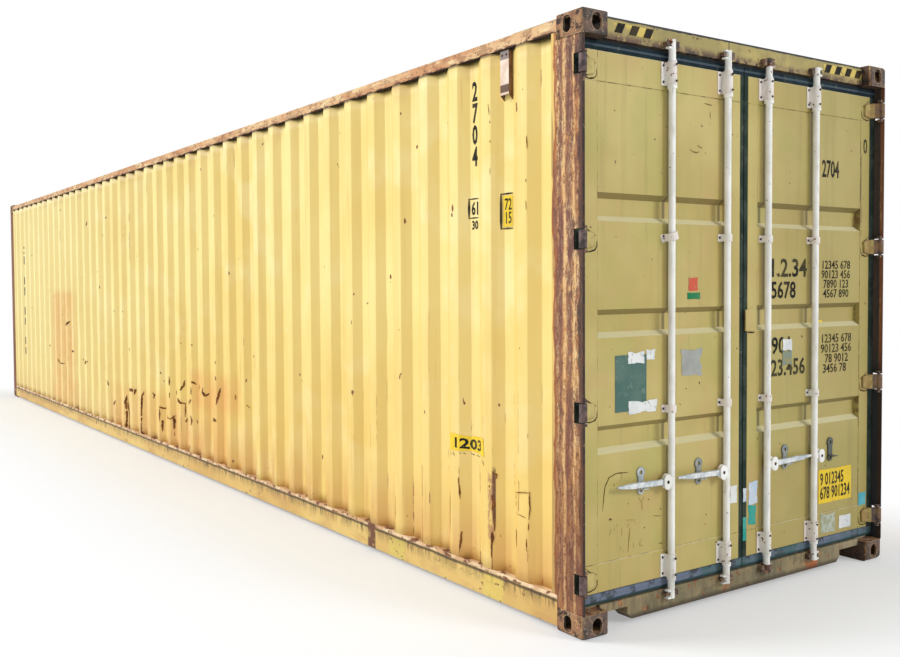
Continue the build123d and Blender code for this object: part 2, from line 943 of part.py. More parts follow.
def leaf_hinges(side):
    """Blades that wrap their pins, lie on the outer stile and narrow towards their ends."""
    bore = hinge_pin + hinge_pin_clearance
    blade_front_x = leaf_x + hinge_blade_thick
    blade_end_y = leaf_outer_y - hinge_blade_reach
    with BuildPart() as hinges:
        for level in hinge_levels:
            with BuildSketch(Plane.XY.offset(level - hinge_tall / 2)):
                with Locations((hinge_x, side * hinge_y)):
                    Circle(hinge_barrel)
                with BuildLine():
                    Polyline(
                        (leaf_x, side * blade_end_y),
                        (blade_front_x, side * blade_end_y),
                        (blade_front_x, side * (leaf_outer_y - hinge_blade_thick)),
                        (hinge_x + hinge_pin, side * (hinge_y - hinge_pin)),
                        (hinge_x - hinge_barrel, side * hinge_y),
                        (leaf_x, side * leaf_outer_y),
                        close=True,
                    )
                make_face()
                with Locations((hinge_x, side * hinge_y)):
                    Circle(bore, mode=Mode.SUBTRACT)
            extrude(amount=hinge_tall)
        with BuildSketch(facing_doors(leaf_x, 0, 0)):
            for level in hinge_levels:
                with BuildLine():
                    Polyline(
                        (side * side_y, level - hinge_tall / 2),
                        (side * leaf_outer_y, level - hinge_tall / 2),
                        (side * blade_end_y, level - hinge_blade_tip / 2),
                        (side * blade_end_y, level + hinge_blade_tip / 2),
                        (side * leaf_outer_y, level + hinge_tall / 2),
                        (side * side_y, level + hinge_tall / 2),
                        close=True,
                    )
                make_face()
        extrude(amount=leaf_setback, mode=Mode.INTERSECT)
    return hinges.part


# Locking gear
def lock_keepers():
    """By every cam, a tongue between its jaws and a lug behind its back."""
    with BuildPart() as keepers:
        for centre_z in (low_cam_z, high_cam_z):
            for side in (-1, 1):
                for bar_distance in (bar_inner_y, bar_outer_y):
                    tongue_y = side * (bar_distance + tongue_offset)
                    lug_y = side * (bar_distance - lug_offset)
                    with BuildSketch(facing_doors(end_frame_x, tongue_y, centre_z)):
                        RectangleRounded(tongue_wide, tongue_tall, keeper_corner)
                    with BuildSketch(facing_doors(end_frame_x, lug_y, centre_z)):
                        RectangleRounded(lug_wide, lug_tall, keeper_corner)
                    extrude(amount=keeper_deep)
    return keepers.part


def locking_bar(bar_y, toward):
    """Turned bar with its collars, a forked cam at each end and the hub of its handle."""
    pivot_y = bar_y + toward * handle_pivot_offset
    low_collar_z = bearing_low_z - bar_clearance
    collar_z = bearing_high_z - bar_clearance
    high_collar_z = bearing_high_z + bearing_tall + bar_clearance
    cheek_x = bar_x + handle_thick + 2 * handle_front_gap
    with BuildPart() as bar:
        with BuildSketch(Plane((bar_x, bar_y, 0), x_dir=(1, 0, 0), z_dir=(0, -1, 0))):
            with BuildLine():
                Polyline(
                    (0, bar_bottom_z),
                    (bar_radius, bar_bottom_z),
                    (bar_radius, low_collar_z - end_collar_tall),
                    (end_collar_radius, low_collar_z - end_collar_tall),
                    (end_collar_radius, low_collar_z),
                    (bar_radius, low_collar_z),
                    (bar_radius, collar_z - collar_tall),
                    (collar_radius, collar_z - collar_tall),
                    (collar_radius, collar_z),
                    (bar_radius, collar_z),
                    (bar_radius, high_collar_z),
                    (end_collar_radius, high_collar_z),
                    (bar_radius, high_collar_z + end_collar_tall),
                    (bar_radius, bar_top_z),
                    (0, bar_top_z),
                    close=True,
                )
            make_face()
        revolve(axis=Axis((bar_x, bar_y, 0), (0, 0, 1)))
        for centre_z in (low_cam_z, high_cam_z):
            cam_plane = Plane(
                (bar_x - cam_thick / 2, bar_y, centre_z), x_dir=(0, toward, 0), z_dir=(1, 0, 0)
            )
            with BuildSketch(cam_plane) as cam:
                with Locations((cam_ear / 2, 0)):
                    Rectangle(cam_ear, cam_tall)
                fillet(cam.vertices().sort_by(Axis.X)[-2:], radius=cam_corner)
                with Locations((cam_ear, 0)):
                    SlotOverall(2 * cam_jaw_deep, cam_jaw_gap, mode=Mode.SUBTRACT)
            extrude(amount=cam_thick)
        with BuildSketch(facing_doors(bar_x - hub_thick, bar_y + toward * hub_offset, handle_z)):
            Ellipse(hub_wide / 2, hub_tall / 2)
        extrude(amount=hub_thick)
        with BuildSketch(facing_doors(bar_x, pivot_y, handle_z)):
            Circle(pivot_radius)
        extrude(amount=cheek_x - bar_x)
        box_between(
            (bar_x, cheek_x),
            (bar_y + toward * hub_web_start, bar_y + toward * hub_web_end),
            (handle_z - hub_web_tall / 2, handle_z + hub_web_tall / 2),
        )
        with BuildSketch(facing_doors(cheek_x, pivot_y, handle_z)) as cheek:
            Rectangle(hub_cheek_wide, hub_cheek_tall)
            chamfer(cheek.vertices(), length=hub_cheek_corner)
            Circle(pivot_hole, mode=Mode.SUBTRACT)
        extrude(amount=hub_cheek_thick)
    return bar.part


def handle(bar_y, toward):
    """Flat lever that rises a little from its pivot and narrows to a rounded tip."""
    pivot_y = bar_y + toward * handle_pivot_offset
    plane = facing_doors(bar_x + handle_front_gap, pivot_y, handle_z)
    stations = [
        ((0, 0), handle_root),
        ((toward * handle_bend, handle_bend_rise), handle_grip),
        ((toward * handle_grip_end, handle_grip_rise), handle_grip),
        ((toward * (handle_long - handle_tip), handle_tip_rise), handle_tip),
    ]
    with BuildPart() as lever:
        for (start, start_radius), (end, end_radius) in zip(stations, stations[1:]):
            with BuildSketch(plane):
                with Locations(start):
                    Circle(start_radius)
                with Locations(end):
                    Circle(end_radius)
                make_hull()
            extrude(amount=handle_thick)
        with BuildSketch(plane):
            Circle(pivot_radius + hinge_pin_clearance)
        extrude(amount=handle_thick, mode=Mode.SUBTRACT)
    return lever.part


def saddle(base_x, bar_y, low_z, tall, strip, foot, clearance=bar_clearance):
    """Strip bent half round a bar, with a foot on the leaf at each side."""
    rise = bar_x - base_x
    bore = bar_radius + clearance
    crown = bore + strip
    with BuildPart() as strap:
        with BuildSketch(Plane((base_x, bar_y, low_z))):
            with Locations((strip / 2, 0)):
                Rectangle(strip, 2 * (crown + foot))
            for radius, mode in ((crown, Mode.ADD), (bore, Mode.SUBTRACT)):
                with Locations((rise / 2, 0)):
                    Rectangle(rise, 2 * radius, mode=mode)
                with Locations((rise, 0)):
                    Circle(radius, mode=mode)
        extrude(amount=tall)
    return strap.part


def leaf_brackets(side):
    """Bearings at both ends of each bar and two guides between; one guide hangs loose."""
    low_guide_z = leaf_bottom_z + guide_low_rise
    high_guide_z = leaf_top_z - guide_high_drop
    with BuildPart() as brackets:
        for bar_distance in (bar_inner_y, bar_outer_y):
            bar_y = side * bar_distance
            for low_z in (bearing_low_z, bearing_high_z):
                add(saddle(leaf_x, bar_y, low_z, bearing_tall, bearing_strip, bearing_foot))
            for centre_z in (low_guide_z, high_guide_z):
                loose = side < 0 and bar_distance == bar_outer_y and centre_z == high_guide_z
                clearance = loose_guide_slack if loose else bar_clearance
                low_z = centre_z - guide_tall / 2
                guide = saddle(panel_x, bar_y, low_z, guide_tall, guide_strip, guide_foot, clearance)
                hang = Axis((panel_x, bar_y, centre_z), (1, 0, 0))
                add(guide.rotate(hang, loose_guide_tilt if loose else 0))
    return brackets.part


def leaf_catches(side):
    """Two-lobed plates behind the handles, each with a ledge under the lever."""
    ledge_top_z = handle_z + handle_bend_rise - handle_grip - catch_ledge_drop
    with BuildPart() as catches:
        for bar_distance in (bar_inner_y, bar_outer_y):
            centre_y = side * (bar_distance + handle_pivot_offset + catch_offset)
            with BuildSketch(facing_doors(panel_x, centre_y, handle_z)):
                with Locations((0, (catch_rise - catch_tail_drop) / 2)):
                    Rectangle(catch_waist, catch_rise + catch_tail_drop)
                with Locations((0, catch_rise)):
                    Circle(catch_lobe)
                    Circle(catch_hole, mode=Mode.SUBTRACT)
                with Locations((0, -catch_tail_drop)):
                    Circle(catch_tail)
                    Circle(catch_hole, mode=Mode.SUBTRACT)
            extrude(amount=panel_setback + catch_thick)
            box_between(
                (panel_x, bar_x + handle_thick),
                (centre_y - catch_ledge_wide / 2, centre_y + catch_ledge_wide / 2),
                (ledge_top_z - catch_thick, ledge_top_z),
            )
    return catches.part


def cover_plate():
    """Plate on the right leaf beside the meeting edge."""
    centre_z = leaf_middle_z - cover_plate_drop
    z_range = (centre_z - cover_plate_tall / 2, centre_z + cover_plate_tall / 2)
    end_y = gasket_centre_gap + cover_plate_wide
    seat_x = leaf_x + cover_plate_stand_off
    with BuildPart() as plate:
        box_between((seat_x, seat_x + cover_plate_thick), (gasket_centre_gap, end_y), z_range)
        box_between((leaf_x, seat_x), (leaf_inner_y, end_y), z_range)
    return plate.part


os.makedirs("parts", exist_ok=True)
save(casting_pair(1, 1), "castings_door_top")
save(casting_pair(1, -1), "castings_door_bottom")
save(casting_pair(-1, 1), "castings_front_top")
save(casting_pair(-1, -1), "castings_front_bottom")
save(shell(sill_body, sill_thick), "door_sill")
save(shell(header_body, header_thick), "door_header")
save(pair(door_post), "door_posts")
save(hinge_pins(), "hinge_pins")
save(lock_keepers(), "lock_keepers")
save(pair(front_post), "front_posts")
save(front_sill(), "front_sill")
save(shell(front_header_body, top_rail_thick), "front_header")
save(front_wall(), "front_wall")
save(pair(top_rail), "top_rails")
save(pair(bottom_rail), "bottom_rails")
save(roof(), "roof")
save(roof_corner_plates(), "roof_corner_plates")
save(cross_members(), "cross_members")
save(tunnel_plate(), "tunnel_plate")
save(pair(tunnel_side), "tunnel_sides")
save(tunnel_bows(), "tunnel_bows")
save(floor(), "floor")
save(pair(vent), "vents")
save(cover_plate(), "cover_plate")

for side_name, side_sign in (("left", -1), ("right", 1)):
    save(side_wall(side_sign), f"side_wall_{side_name}")
    save(leaf_frame(side_sign), f"door_{side_name}_frame")
    save(leaf_panel(side_sign), f"door_{side_name}_panel")
    save(leaf_gasket(side_sign), f"door_{side_name}_gasket")
    save(leaf_hinges(side_sign), f"door_{side_name}_hinges")
    save(leaf_brackets(side_sign), f"door_{side_name}_brackets")
    save(leaf_catches(side_sign), f"door_{side_name}_catches")
    for place, distance in (("outer", bar_outer_y), ("inner", bar_inner_y)):
        save(locking_bar(side_sign * distance, side_sign), f"bar_{side_name}_{place}")
        if not (side_sign > 0 and place == "outer"):
            save(handle(side_sign * distance, side_sign), f"handle_{side_name}_{place}")
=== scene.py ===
import math
import random

import bmesh
import bpy
from mathutils import Matrix, Vector, noise


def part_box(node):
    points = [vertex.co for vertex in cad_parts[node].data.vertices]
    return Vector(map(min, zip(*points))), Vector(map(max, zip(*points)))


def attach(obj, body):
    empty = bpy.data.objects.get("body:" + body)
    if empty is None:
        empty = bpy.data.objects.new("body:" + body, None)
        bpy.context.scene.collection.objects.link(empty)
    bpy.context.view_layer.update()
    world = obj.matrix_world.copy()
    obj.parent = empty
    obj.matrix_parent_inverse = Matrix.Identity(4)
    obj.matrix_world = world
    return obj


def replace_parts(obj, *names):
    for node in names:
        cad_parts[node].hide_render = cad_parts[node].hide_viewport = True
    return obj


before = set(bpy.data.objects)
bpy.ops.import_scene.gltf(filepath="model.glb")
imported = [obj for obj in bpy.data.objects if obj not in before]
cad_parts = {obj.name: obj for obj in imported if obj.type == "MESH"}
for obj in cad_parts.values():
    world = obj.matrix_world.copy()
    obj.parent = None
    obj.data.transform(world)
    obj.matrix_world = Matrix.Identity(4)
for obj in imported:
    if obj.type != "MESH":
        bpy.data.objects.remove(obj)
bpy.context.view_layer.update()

# Camera, fitted to the corners of the container
CAMERA_PLACE = Vector((9.263, -4.312, 1.647))
CAMERA_TURN = math.radians(147.25)
CAMERA_TILT = math.radians(-1.92)
CAMERA_ROLL = math.radians(0.45)
FOCAL_PIXELS = 958.1
CENTRE_X = 386.9
CENTRE_Y = 317.3
IMAGE_WIDE = 900
IMAGE_TALL = 657
SENSOR = 36.0

# Places on the container, from the frame, in metres
WALL_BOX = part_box("side_wall_left")
LEAF_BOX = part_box("door_left_frame")
PANEL_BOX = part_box("door_left_panel")
HEADER_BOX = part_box("door_header")
RAIL_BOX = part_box("bottom_rails")
RAIL_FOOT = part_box("top_rails")[0].z
VENT_LOW, VENT_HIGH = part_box("vents")
PANEL_X = PANEL_BOX[1].x
LEAF_X = LEAF_BOX[1].x
HEADER_X = HEADER_BOX[1].x
GASKET_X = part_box("door_right_gasket")[1].x
BARS_Y = (-0.588, -0.167, 0.167, 0.588)
HINGES_Z = (0.258, 1.054, 1.850, 2.646)
WALL_OUT = -WALL_BOX[0].y
STICKER = 0.0012
STICKER_THICK = 0.0004
WALL_CLEAR = 0.001
TEAR_STEP = 0.012
STROKE_STEP = 0.014

# Corrugation of the side walls, from the door post towards the front
WALL_DEPTH = 0.036
END_SLOPE = 0.039
INNER_FLAT = 0.070
SLOPE = 0.068
OUTER_FLAT = 0.072
PITCH = INNER_FLAT + OUTER_FLAT + 2 * SLOPE
SHEET = 0.0016
FOLD_RADIUS = 0.02
WALL_ROWS = 34
WALL_WAVE = 0.0009

# Softened CAD meshes and rounded castings
SAME_PLACE = 0.00005
WELD = 0.0001
SOFT_ANGLE = math.radians(35)
SHARP_ANGLE = math.radians(32)
TOP_CASTING_RADIUS = 0.024
LOW_CASTING_RADIUS = 0.032


def rgb(code):
    """A colour written as six hexadecimal digits, as the linear colour that nodes take."""
    values = [int(code[place:place + 2], 16) / 255 for place in (0, 2, 4)]
    linear = [v / 12.92 if v <= 0.04045 else ((v + 0.055) / 1.055) ** 2.4 for v in values]
    return (*linear, 1.0)


def make_camera():
    forward = Vector((
        math.cos(CAMERA_TILT) * math.cos(CAMERA_TURN),
        math.cos(CAMERA_TILT) * math.sin(CAMERA_TURN),
        math.sin(CAMERA_TILT),
    ))
    right = forward.cross(Vector((0, 0, 1))).normalized()
    down = -right.cross(forward)
    turned_right = math.cos(CAMERA_ROLL) * right + math.sin(CAMERA_ROLL) * down
    turned_down = math.cos(CAMERA_ROLL) * down - math.sin(CAMERA_ROLL) * right
    axes = Matrix((turned_right, -turned_down, -forward)).transposed()
    lens = bpy.data.cameras.new("camera")
    lens.sensor_width = SENSOR
    lens.lens = FOCAL_PIXELS / IMAGE_WIDE * SENSOR
    lens.shift_x = (IMAGE_WIDE / 2 - CENTRE_X) / IMAGE_WIDE
    lens.shift_y = (CENTRE_Y - IMAGE_TALL / 2) / IMAGE_WIDE
    lens.clip_end = 200
    camera = bpy.data.objects.new("camera", lens)
    camera.matrix_world = Matrix.Translation(CAMERA_PLACE) @ axes.to_4x4()
    bpy.context.scene.collection.objects.link(camera)
    bpy.context.scene.camera = camera


make_camera()


class Tree:
    """A node tree. Its methods return the socket they make."""

    def __init__(self, tree):
        self.nodes = tree.nodes
        self.links = tree.links

    def put(self, socket, value):
        """Links a socket or sets a plain value; colours may be written as codes."""
        if isinstance(value, bpy.types.NodeSocket):
            self.links.new(value, socket)
        else:
            socket.default_value = rgb(value) if isinstance(value, str) else value

    def node(self, kind, inputs, **settings):
        """Adds a node with its settings and inputs, and returns its outputs."""
        node = self.nodes.new("ShaderNode" + kind)
        for setting, value in settings.items():
            setattr(node, setting, value)
        for socket, value in inputs.items():
            self.put(node.inputs[socket], value)
        return node.outputs

    def math(self, operation, first, second=0.0):
        return self.node("Math", {0: first, 1: second}, operation=operation)[0]

    def abs(self, value):
        return self.math("ABSOLUTE", value)

    def gap(self, first, second):
        return self.abs(self.math("SUBTRACT", first, second))

    def most(self, first, second):
        return self.math("MAXIMUM", first, second)

    def shift(self, value, by, amount):
        """A value moved by a share of another."""
        return self.math("ADD", value, self.math("MULTIPLY", by, amount))

    def times(self, *masks):
        result = masks[0]
        for mask in masks[1:]:
            result = self.math("MULTIPLY", result, mask)
        return result

    def seen(self):
        """1 for the camera's rays, also by way of mirrors and glass."""
        rays = self.node("LightPath", {})
        direct = self.most(rays["Is Camera Ray"], rays["Is Glossy Ray"])
        return self.most(direct, rays["Is Transmission Ray"])


class Finish(Tree):
    """One material. Tones are colour codes or sockets, and a scale of three numbers stretches a noise."""

    def __init__(self, name, roughness, metallic=0.0):
        self.material = bpy.data.materials.new(name)
        self.material.use_nodes = True
        super().__init__(self.material.node_tree)
        self.shader = self.nodes["Principled BSDF"]
        self.shader.inputs["Metallic"].default_value = metallic
        self.shader.inputs["Roughness"].default_value = roughness
        self.colour = None
        source = self.node("TexCoord", {})
        self.place = source["Object"]
        self.x, self.y, self.z = self.node("SeparateXYZ", {0: self.place})
        self.facing_x, self.facing_y, self.facing_z = self.node("SeparateXYZ", {0: source["Normal"]})

    def band(self, value, low, high, start=0.0, end=1.0):
        """Smooth step from start at low to end at high."""
        limits = {"Value": value, "From Min": low, "From Max": high, "To Min": start, "To Max": end}
        return self.node("MapRange", limits, interpolation_type="SMOOTHSTEP")[0]

    def within(self, value, low, high, soft):
        """1 between two limits, with soft edges."""
        rise = self.band(value, low - soft, low + soft)
        return self.times(rise, self.band(value, high - soft, high + soft, 1, 0))

    def noise(self, scale, seed=0.0, detail=3.0, rough=0.6, stretch=(1, 1, 1)):
        if isinstance(scale, tuple):
            scale, stretch = 1.0, scale
        start = (seed, 1.7 * seed, 2.3 * seed)
        place = self.node("Mapping", {"Vector": self.place, "Scale": stretch, "Location": start})[0]
        look = {"Vector": place, "Scale": scale, "Detail": detail, "Roughness": rough}
        return self.node("TexNoise", look)[0]

    def spots(self, scale, low, high, seed=0.0, detail=3.0, rough=0.6, stretch=(1, 1, 1)):
        """Blotches where a noise passes from low to high."""
        return self.band(self.noise(scale, seed, detail, rough, stretch), low, high)

    def mix(self, mask, first, second):
        return self.node("Mix", {0: mask, 6: first, 7: second}, data_type="RGBA")[2]

    def mottle(self, first, second, *blotches):
        """One tone with blotches of another."""
        return self.mix(self.spots(*blotches), first, second)

    def base(self, *mottling):
        self.colour = self.mottle(*mottling)

    def coat(self, masks, tone, share=1):
        """Lays a tone over the colour so far, where a mask, or each of several, shows it."""
        mask = self.times(*masks) if isinstance(masks, tuple) else masks
        if share != 1:
            mask = self.times(mask, share)
        self.colour = self.mix(mask, self.colour, tone)

    def blots(self, tone, share, *blotches, **more):
        """Lays blotches of a tone over the colour so far."""
        self.coat(self.spots(*blotches, **more), tone, share)

    def edges(self, radius, low=0.02, high=0.2):
        """Where the surface bends sharply within a radius."""
        rounded_off = self.node("Bevel", {"Radius": radius}, samples=4)[0]
        normal = self.node("NewGeometry", {})["Normal"]
        turn = self.node("VectorMath", {0: rounded_off, 1: normal}, operation="DOT_PRODUCT")["Value"]
        return self.band(self.math("SUBTRACT", 1.0, turn), low, high)

    def rust(self, seed=0.0, dark="3B211A", mid="7D4526", light="B06F3D"):
        """Flaking rust, mottled at three sizes."""
        colour = self.mottle(mid, light, 6, 0.38, 0.62, seed)
        colour = self.mottle(colour, dark, 24, 0.5, 0.62, seed + 3, 5)
        return self.mottle(colour, "CE9A68", 70, 0.56, 0.7, seed + 5, 4)

    def finish(self, height, strength, distance):
        """Applies the colour and a bump, and returns the material."""
        bump = self.node("Bump", {"Strength": strength, "Distance": distance, "Height": height})[0]
        self.put(self.shader.inputs["Base Color"], self.colour)
        self.put(self.shader.inputs["Normal"], bump)
        return self.material


# Specular level of rubber, paper and ink
MATT = 0.15

# Paint of the long walls
WALL_LIGHT = "F8E393"
WALL_WARM = "F0D47B"
WALL_PALE = "FBEBAC"
WALL_STREAK = "E2C069"
RUN_ORANGE = "C98A45"
RUN_BROWN = "7A4423"

# Orange haze on the near wall: reach along x, reach in z, strength
HAZES = (
    ((-3.70, -2.62), (0.20, 1.60), 0.5),
    ((1.19, 2.26), (0.60, 0.91), 0.55),
    ((-1.20, 2.00), (0.10, 0.62), 0.3),
)

# Heights of the worn marks near the far end of the long wall
FAR_MARKS = (
    (2.218, 2.250), (2.145, 2.172), (1.990, 2.106), (1.697, 1.808), (1.541, 1.658),
    (1.255, 1.372), (1.114, 1.215), (0.824, 0.933), (0.682, 0.785),
)


def wall_finish(name, along, folds):
    """Sun-faded yellow paint with grime at head and foot, a painted shadow under the top rail, painted
    shade on the slopes, haze, runs and worn folds.
    """
    f = Finish(name, 0.55)
    run = f.x if along == "x" else f.y
    f.base(WALL_LIGHT, WALL_WARM, 0.8, 0.35, 0.65)
    f.blots(WALL_PALE, 0.6, 2.2, 0.5, 0.7, 4)
    f.blots(WALL_STREAK, 0.4, (10, 10, 0.4), 0.5, 0.75, 7)  # streak
    side = f.facing_x if along == "x" else f.facing_y
    f.coat(f.band(f.abs(side), 0.15, 0.4), "D6AF54", 0.34)  # slope: painted shade on the sloped faces of the corrugation
    f.coat((f.band(f.z, 2.0, 0.3), f.band(f.x, 1.5, 5.6, 0.45, 1)), "E2B95C", 0.5)  # deeper
    f.coat((f.band(f.z, 0.62, 0.17), f.spots((9, 9, 0.8), 0.32, 0.6, 9)), "CC8F4E", 0.6)  # foot
    runs = f.times(f.spots((34, 34, 0.9), 0.6, 0.72, 11, 4), f.spots(1.3, 0.5, 0.62, 13))
    f.coat(runs, RUN_ORANGE, 0.45)
    if folds:
        f.coat(f.band(f.x, 2.5, -5.0), "FFF0AE", 0.55)  # far
        inner = f.band(f.abs(f.y), 1.203, 1.182)
        near_side = f.band(f.y, 0.1, -0.1)
        for x_range, z_range, share in HAZES:
            haze = f.times(f.within(f.x, *x_range, 0.14), f.within(f.z, *z_range, 0.07), near_side)
            haze = f.times(haze, f.band(f.noise(2.6, 41), 0.3, 0.6, 0.45, 1))
            f.coat((haze, f.band(inner, 0, 1, 0.8 * share, share)), "E39B55")
        scale = f.times(f.within(f.x, 5.398, 5.446, 0.008), f.within(f.z, 0.32, 0.67, 0.03), near_side)
        scale = f.times(scale, f.spots((40, 40, 20), 0.42, 0.5, 43, 6, 0.7))
        f.coat(scale, "A8744F", 0.8)
        scab = f.times(f.within(f.x, 5.432, 5.45, 0.003), f.within(f.z, 0.42, 0.7, 0.02), near_side)
        scab = f.times(scab, f.spots(30, 0.38, 0.45, 45, 5))
        f.coat(scab, "5C2E1A", 0.9)
        marks = 0.0
        for low_z, high_z in FAR_MARKS:
            marks = f.most(marks, f.within(f.z, low_z, high_z, 0.004))
        marks = f.times(marks, f.within(f.x, -5.37, -5.23, 0.004), near_side)
        f.coat(marks, "1B1A18", 0.82)
        start, pitch, places = folds
        phase = f.math("FRACT", f.math("DIVIDE", f.math("SUBTRACT", start, run), pitch))
        nearest = 1.0
        for place in places:
            nearest = f.math("MINIMUM", nearest, f.gap(phase, place))
        on_fold = f.band(nearest, 0.006, 0.022, 1, 0)
        worn = f.spots((16, 16, 3.4), 0.57, 0.61, 17, 5)
        low = f.times(f.band(f.z, 0.35, 1.5, 1, 0), f.band(f.x, 3.6, 4.8))
        where = f.most(f.spots(0.9, 0.58, 0.66, 19), low)
        f.coat((on_fold, worn, where), f.rust(seed=21, mid="8A5430", light="B97B45"))  # chips
    specks = f.spots(15, 0.735, 0.75, 23, 2, stretch=(1, 1, 0.6))
    f.coat(specks, RUN_BROWN)
    top = f.band(f.z, 2.66, 2.8)
    f.coat((top, f.spots(6, 0.45, 0.65, 37, stretch=(1, 1, 0.2))), "C9985A", 0.4)
    f.coat(f.band(f.z, RAIL_FOOT - 0.018, RAIL_FOOT - 0.004), "4E3222", 0.75)  # head: painted shadow under the top rail
    return f.finish(f.shift(f.noise(40, 2, 2), specks, -2.0), 0.12, 0.001)


def door_finish(name):
    """Dull olive-yellow paint with tan blotches, few rust spots, thin seams, painted shadow by the bars,
    painted shade on downward faces and painted light on upward ones.
    """
    f = Finish(name, 0.5)
    f.base("C6B46F", "B9A55E", 1.5, 0.36, 0.64)
    f.blots("C2A269", 0.5, 4, 0.5, 0.7, 3)
    f.blots("AFAA5C", 0.5, 2.6, 0.5, 0.7, 5)
    f.coat(f.band(f.y, -0.1, 0.5, 0, 0.42), "97894A")
    f.blots("9A8B50", 0.35, (16, 16, 0.7), 0.52, 0.74, 8)  # streak
    spots = f.spots(26, 0.745, 0.76, 11, 2)
    f.blots("A17F42", 0.5, 26, 0.7, 0.75, 11, 2)  # halo
    f.coat(spots, "4A2E14")
    away = f.abs(f.y)
    seams = 0.0
    for value, place in ((away, 0.113), (away, 1.065), (f.z, PANEL_BOX[0].z), (f.z, PANEL_BOX[1].z)):
        seams = f.most(seams, f.band(f.gap(value, place), 0.001, 0.004, 1, 0))
    patchy = f.spots(14, 0.45, 0.6, 14)
    f.coat((seams, f.band(patchy, 0, 1, 0.2, 0.8)), "6A5428")
    for bar_y in BARS_Y:
        f.coat(f.within(f.y, bar_y - 0.004, bar_y + 0.016, 0.006), "453D1C", 0.72)  # behind: painted shadow of each bar on the panel
        f.coat(f.within(f.y, bar_y + 0.055, bar_y + 0.07, 0.012), "837E58", 0.35)  # beside: painted shade beside each bar
    ends = f.times(f.within(f.y, 1.035, 1.085, 0.01), f.spots(14, 0.42, 0.52, 17, 4))
    f.coat((ends, f.within(f.z, 1.93, 2.09, 0.03)), "7A5A34", 0.5)
    drip = f.times(f.within(f.y, 1.066, 1.074, 0.003), f.within(f.z, 2.1, 2.4, 0.04))
    f.coat((drip, f.spots(20, 0.4, 0.5, 18)), "5A3E24", 0.8)
    f.coat(f.band(f.facing_z, -0.2, -0.6), "5E4F28", 0.6)  # under: painted shade on downward faces
    f.coat(f.band(f.facing_z, 0.15, 0.4), "E2DBB2", 0.75)  # over: painted light on upward faces
    return f.finish(f.shift(f.noise(50, 2, 2), spots, -2.0), 0.08, 0.001)


def post_finish(name):
    """Rust in long wavy streaks, orange and purplish, with runs of old paint, charcoal fronts and painted
    shade low on the right post.
    """
    f = Finish(name, 0.85)
    wave = f.noise((9, 9, 3.2), 5, 4)
    f.base("B57F52", "8A5A4A", (20, 20, 2.6), 0.42, 0.58, 1, 6)
    f.blots("CB8B50", 0.75, (34, 34, 6), 0.5, 0.58, 3, 6, 0.75)  # ochre
    column = f.spots((24, 24, 1.3), 0.44, 0.56, 7, 3)
    flecks = f.spots((62, 62, 15), 0.49, 0.54, 9, 7, 0.8)
    f.coat((column, flecks, f.band(f.z, 0.3, 1.3, 0.35, 1)), "F0CC94", 0.9)  # cream
    f.blots("56352C", 0.8, (55, 55, 17), 0.53, 0.58, 12, 7, 0.8)  # crust
    f.blots("442B22", 0.55, 85, 0.52, 0.62, 14, 6, 0.75)  # grain
    edge = f.shift(f.x, wave, 0.09)
    doors = f.band(f.x, 0, 1)
    f.coat((f.band(edge, 5.95, 5.944), doors), "E6C274")  # old paint
    f.coat((f.within(edge, 5.944, 5.958, 0.003), doors), "A8602C", 0.8)  # its rim
    f.coat(f.band(edge, 6.108, 6.124), "3A2C28", 0.85)  # corner
    for hinge_z in HINGES_Z:
        by_hinge = f.times(f.within(f.z, hinge_z - 0.07, hinge_z + 0.1, 0.03), f.band(f.x, 5.98, 6.02))
        f.coat(by_hinge, "4B3536", 0.55)
    f.coat(f.band(f.z, 1.5, 0.5), "6B3A1E", 0.5)  # lower
    f.coat((f.band(f.z, 0.9, 1.5), f.spots((26, 26, 1.6), 0.5, 0.58, 16)), "74463A", 0.5)  # upper
    bend = f.shift(f.x, wave, 0.05)
    purple = f.most(f.within(bend, 6.016, 6.046, 0.006), f.within(bend, 5.962, 5.978, 0.005))
    purple = f.times(purple, f.band(f.z, 0.7, 1.2), f.spots(30, 0.36, 0.5, 22, 5))
    f.coat(purple, "6B4440", 0.6)
    pale = f.most(f.within(bend, 5.988, 6.006, 0.006), f.within(bend, 6.058, 6.07, 0.004))
    pale = f.times(pale, f.spots((66, 66, 40), 0.43, 0.49, 24, 7, 0.8))
    f.coat((pale, f.band(f.z, 0.5, 1.2, 0.5, 0.85)), "E9BE82")
    front = f.band(f.facing_x, 0.5, 0.8)
    charcoal = f.mottle("322C2B", "54392F", 16, 0.45, 0.65, 18, 5)
    charcoal = f.mottle(charcoal, "9A8266", 60, 0.62, 0.72, 20)
    f.coat(front, charcoal)
    # Painted shade on the right post: its front and inner faces are darkened below about 1.2 m
    right = f.band(f.y, 0.5, 1.0)
    foot = f.band(f.z, 1.3, 1.0)
    f.coat((front, right, doors, foot), "1C1816", 0.7)
    inner = f.times(f.band(f.facing_y, -0.5, -0.8), right, doors)
    f.coat(inner, "A0623A", 0.5)
    f.coat((inner, foot), "1C1816", 0.85)
    f.coat((inner, f.band(f.shift(f.x, wave, 0.02), 6.084, 6.076)), "1E2728", 0.88)  # deep: painted shade at the front of the inner face
    f.coat(f.band(f.x, 0, -1), "70452A", 0.7)  # away
    return f.finish(f.math("ADD", f.noise(30, 2, 6), f.noise(110, 5, 3)), 0.45, 0.004)


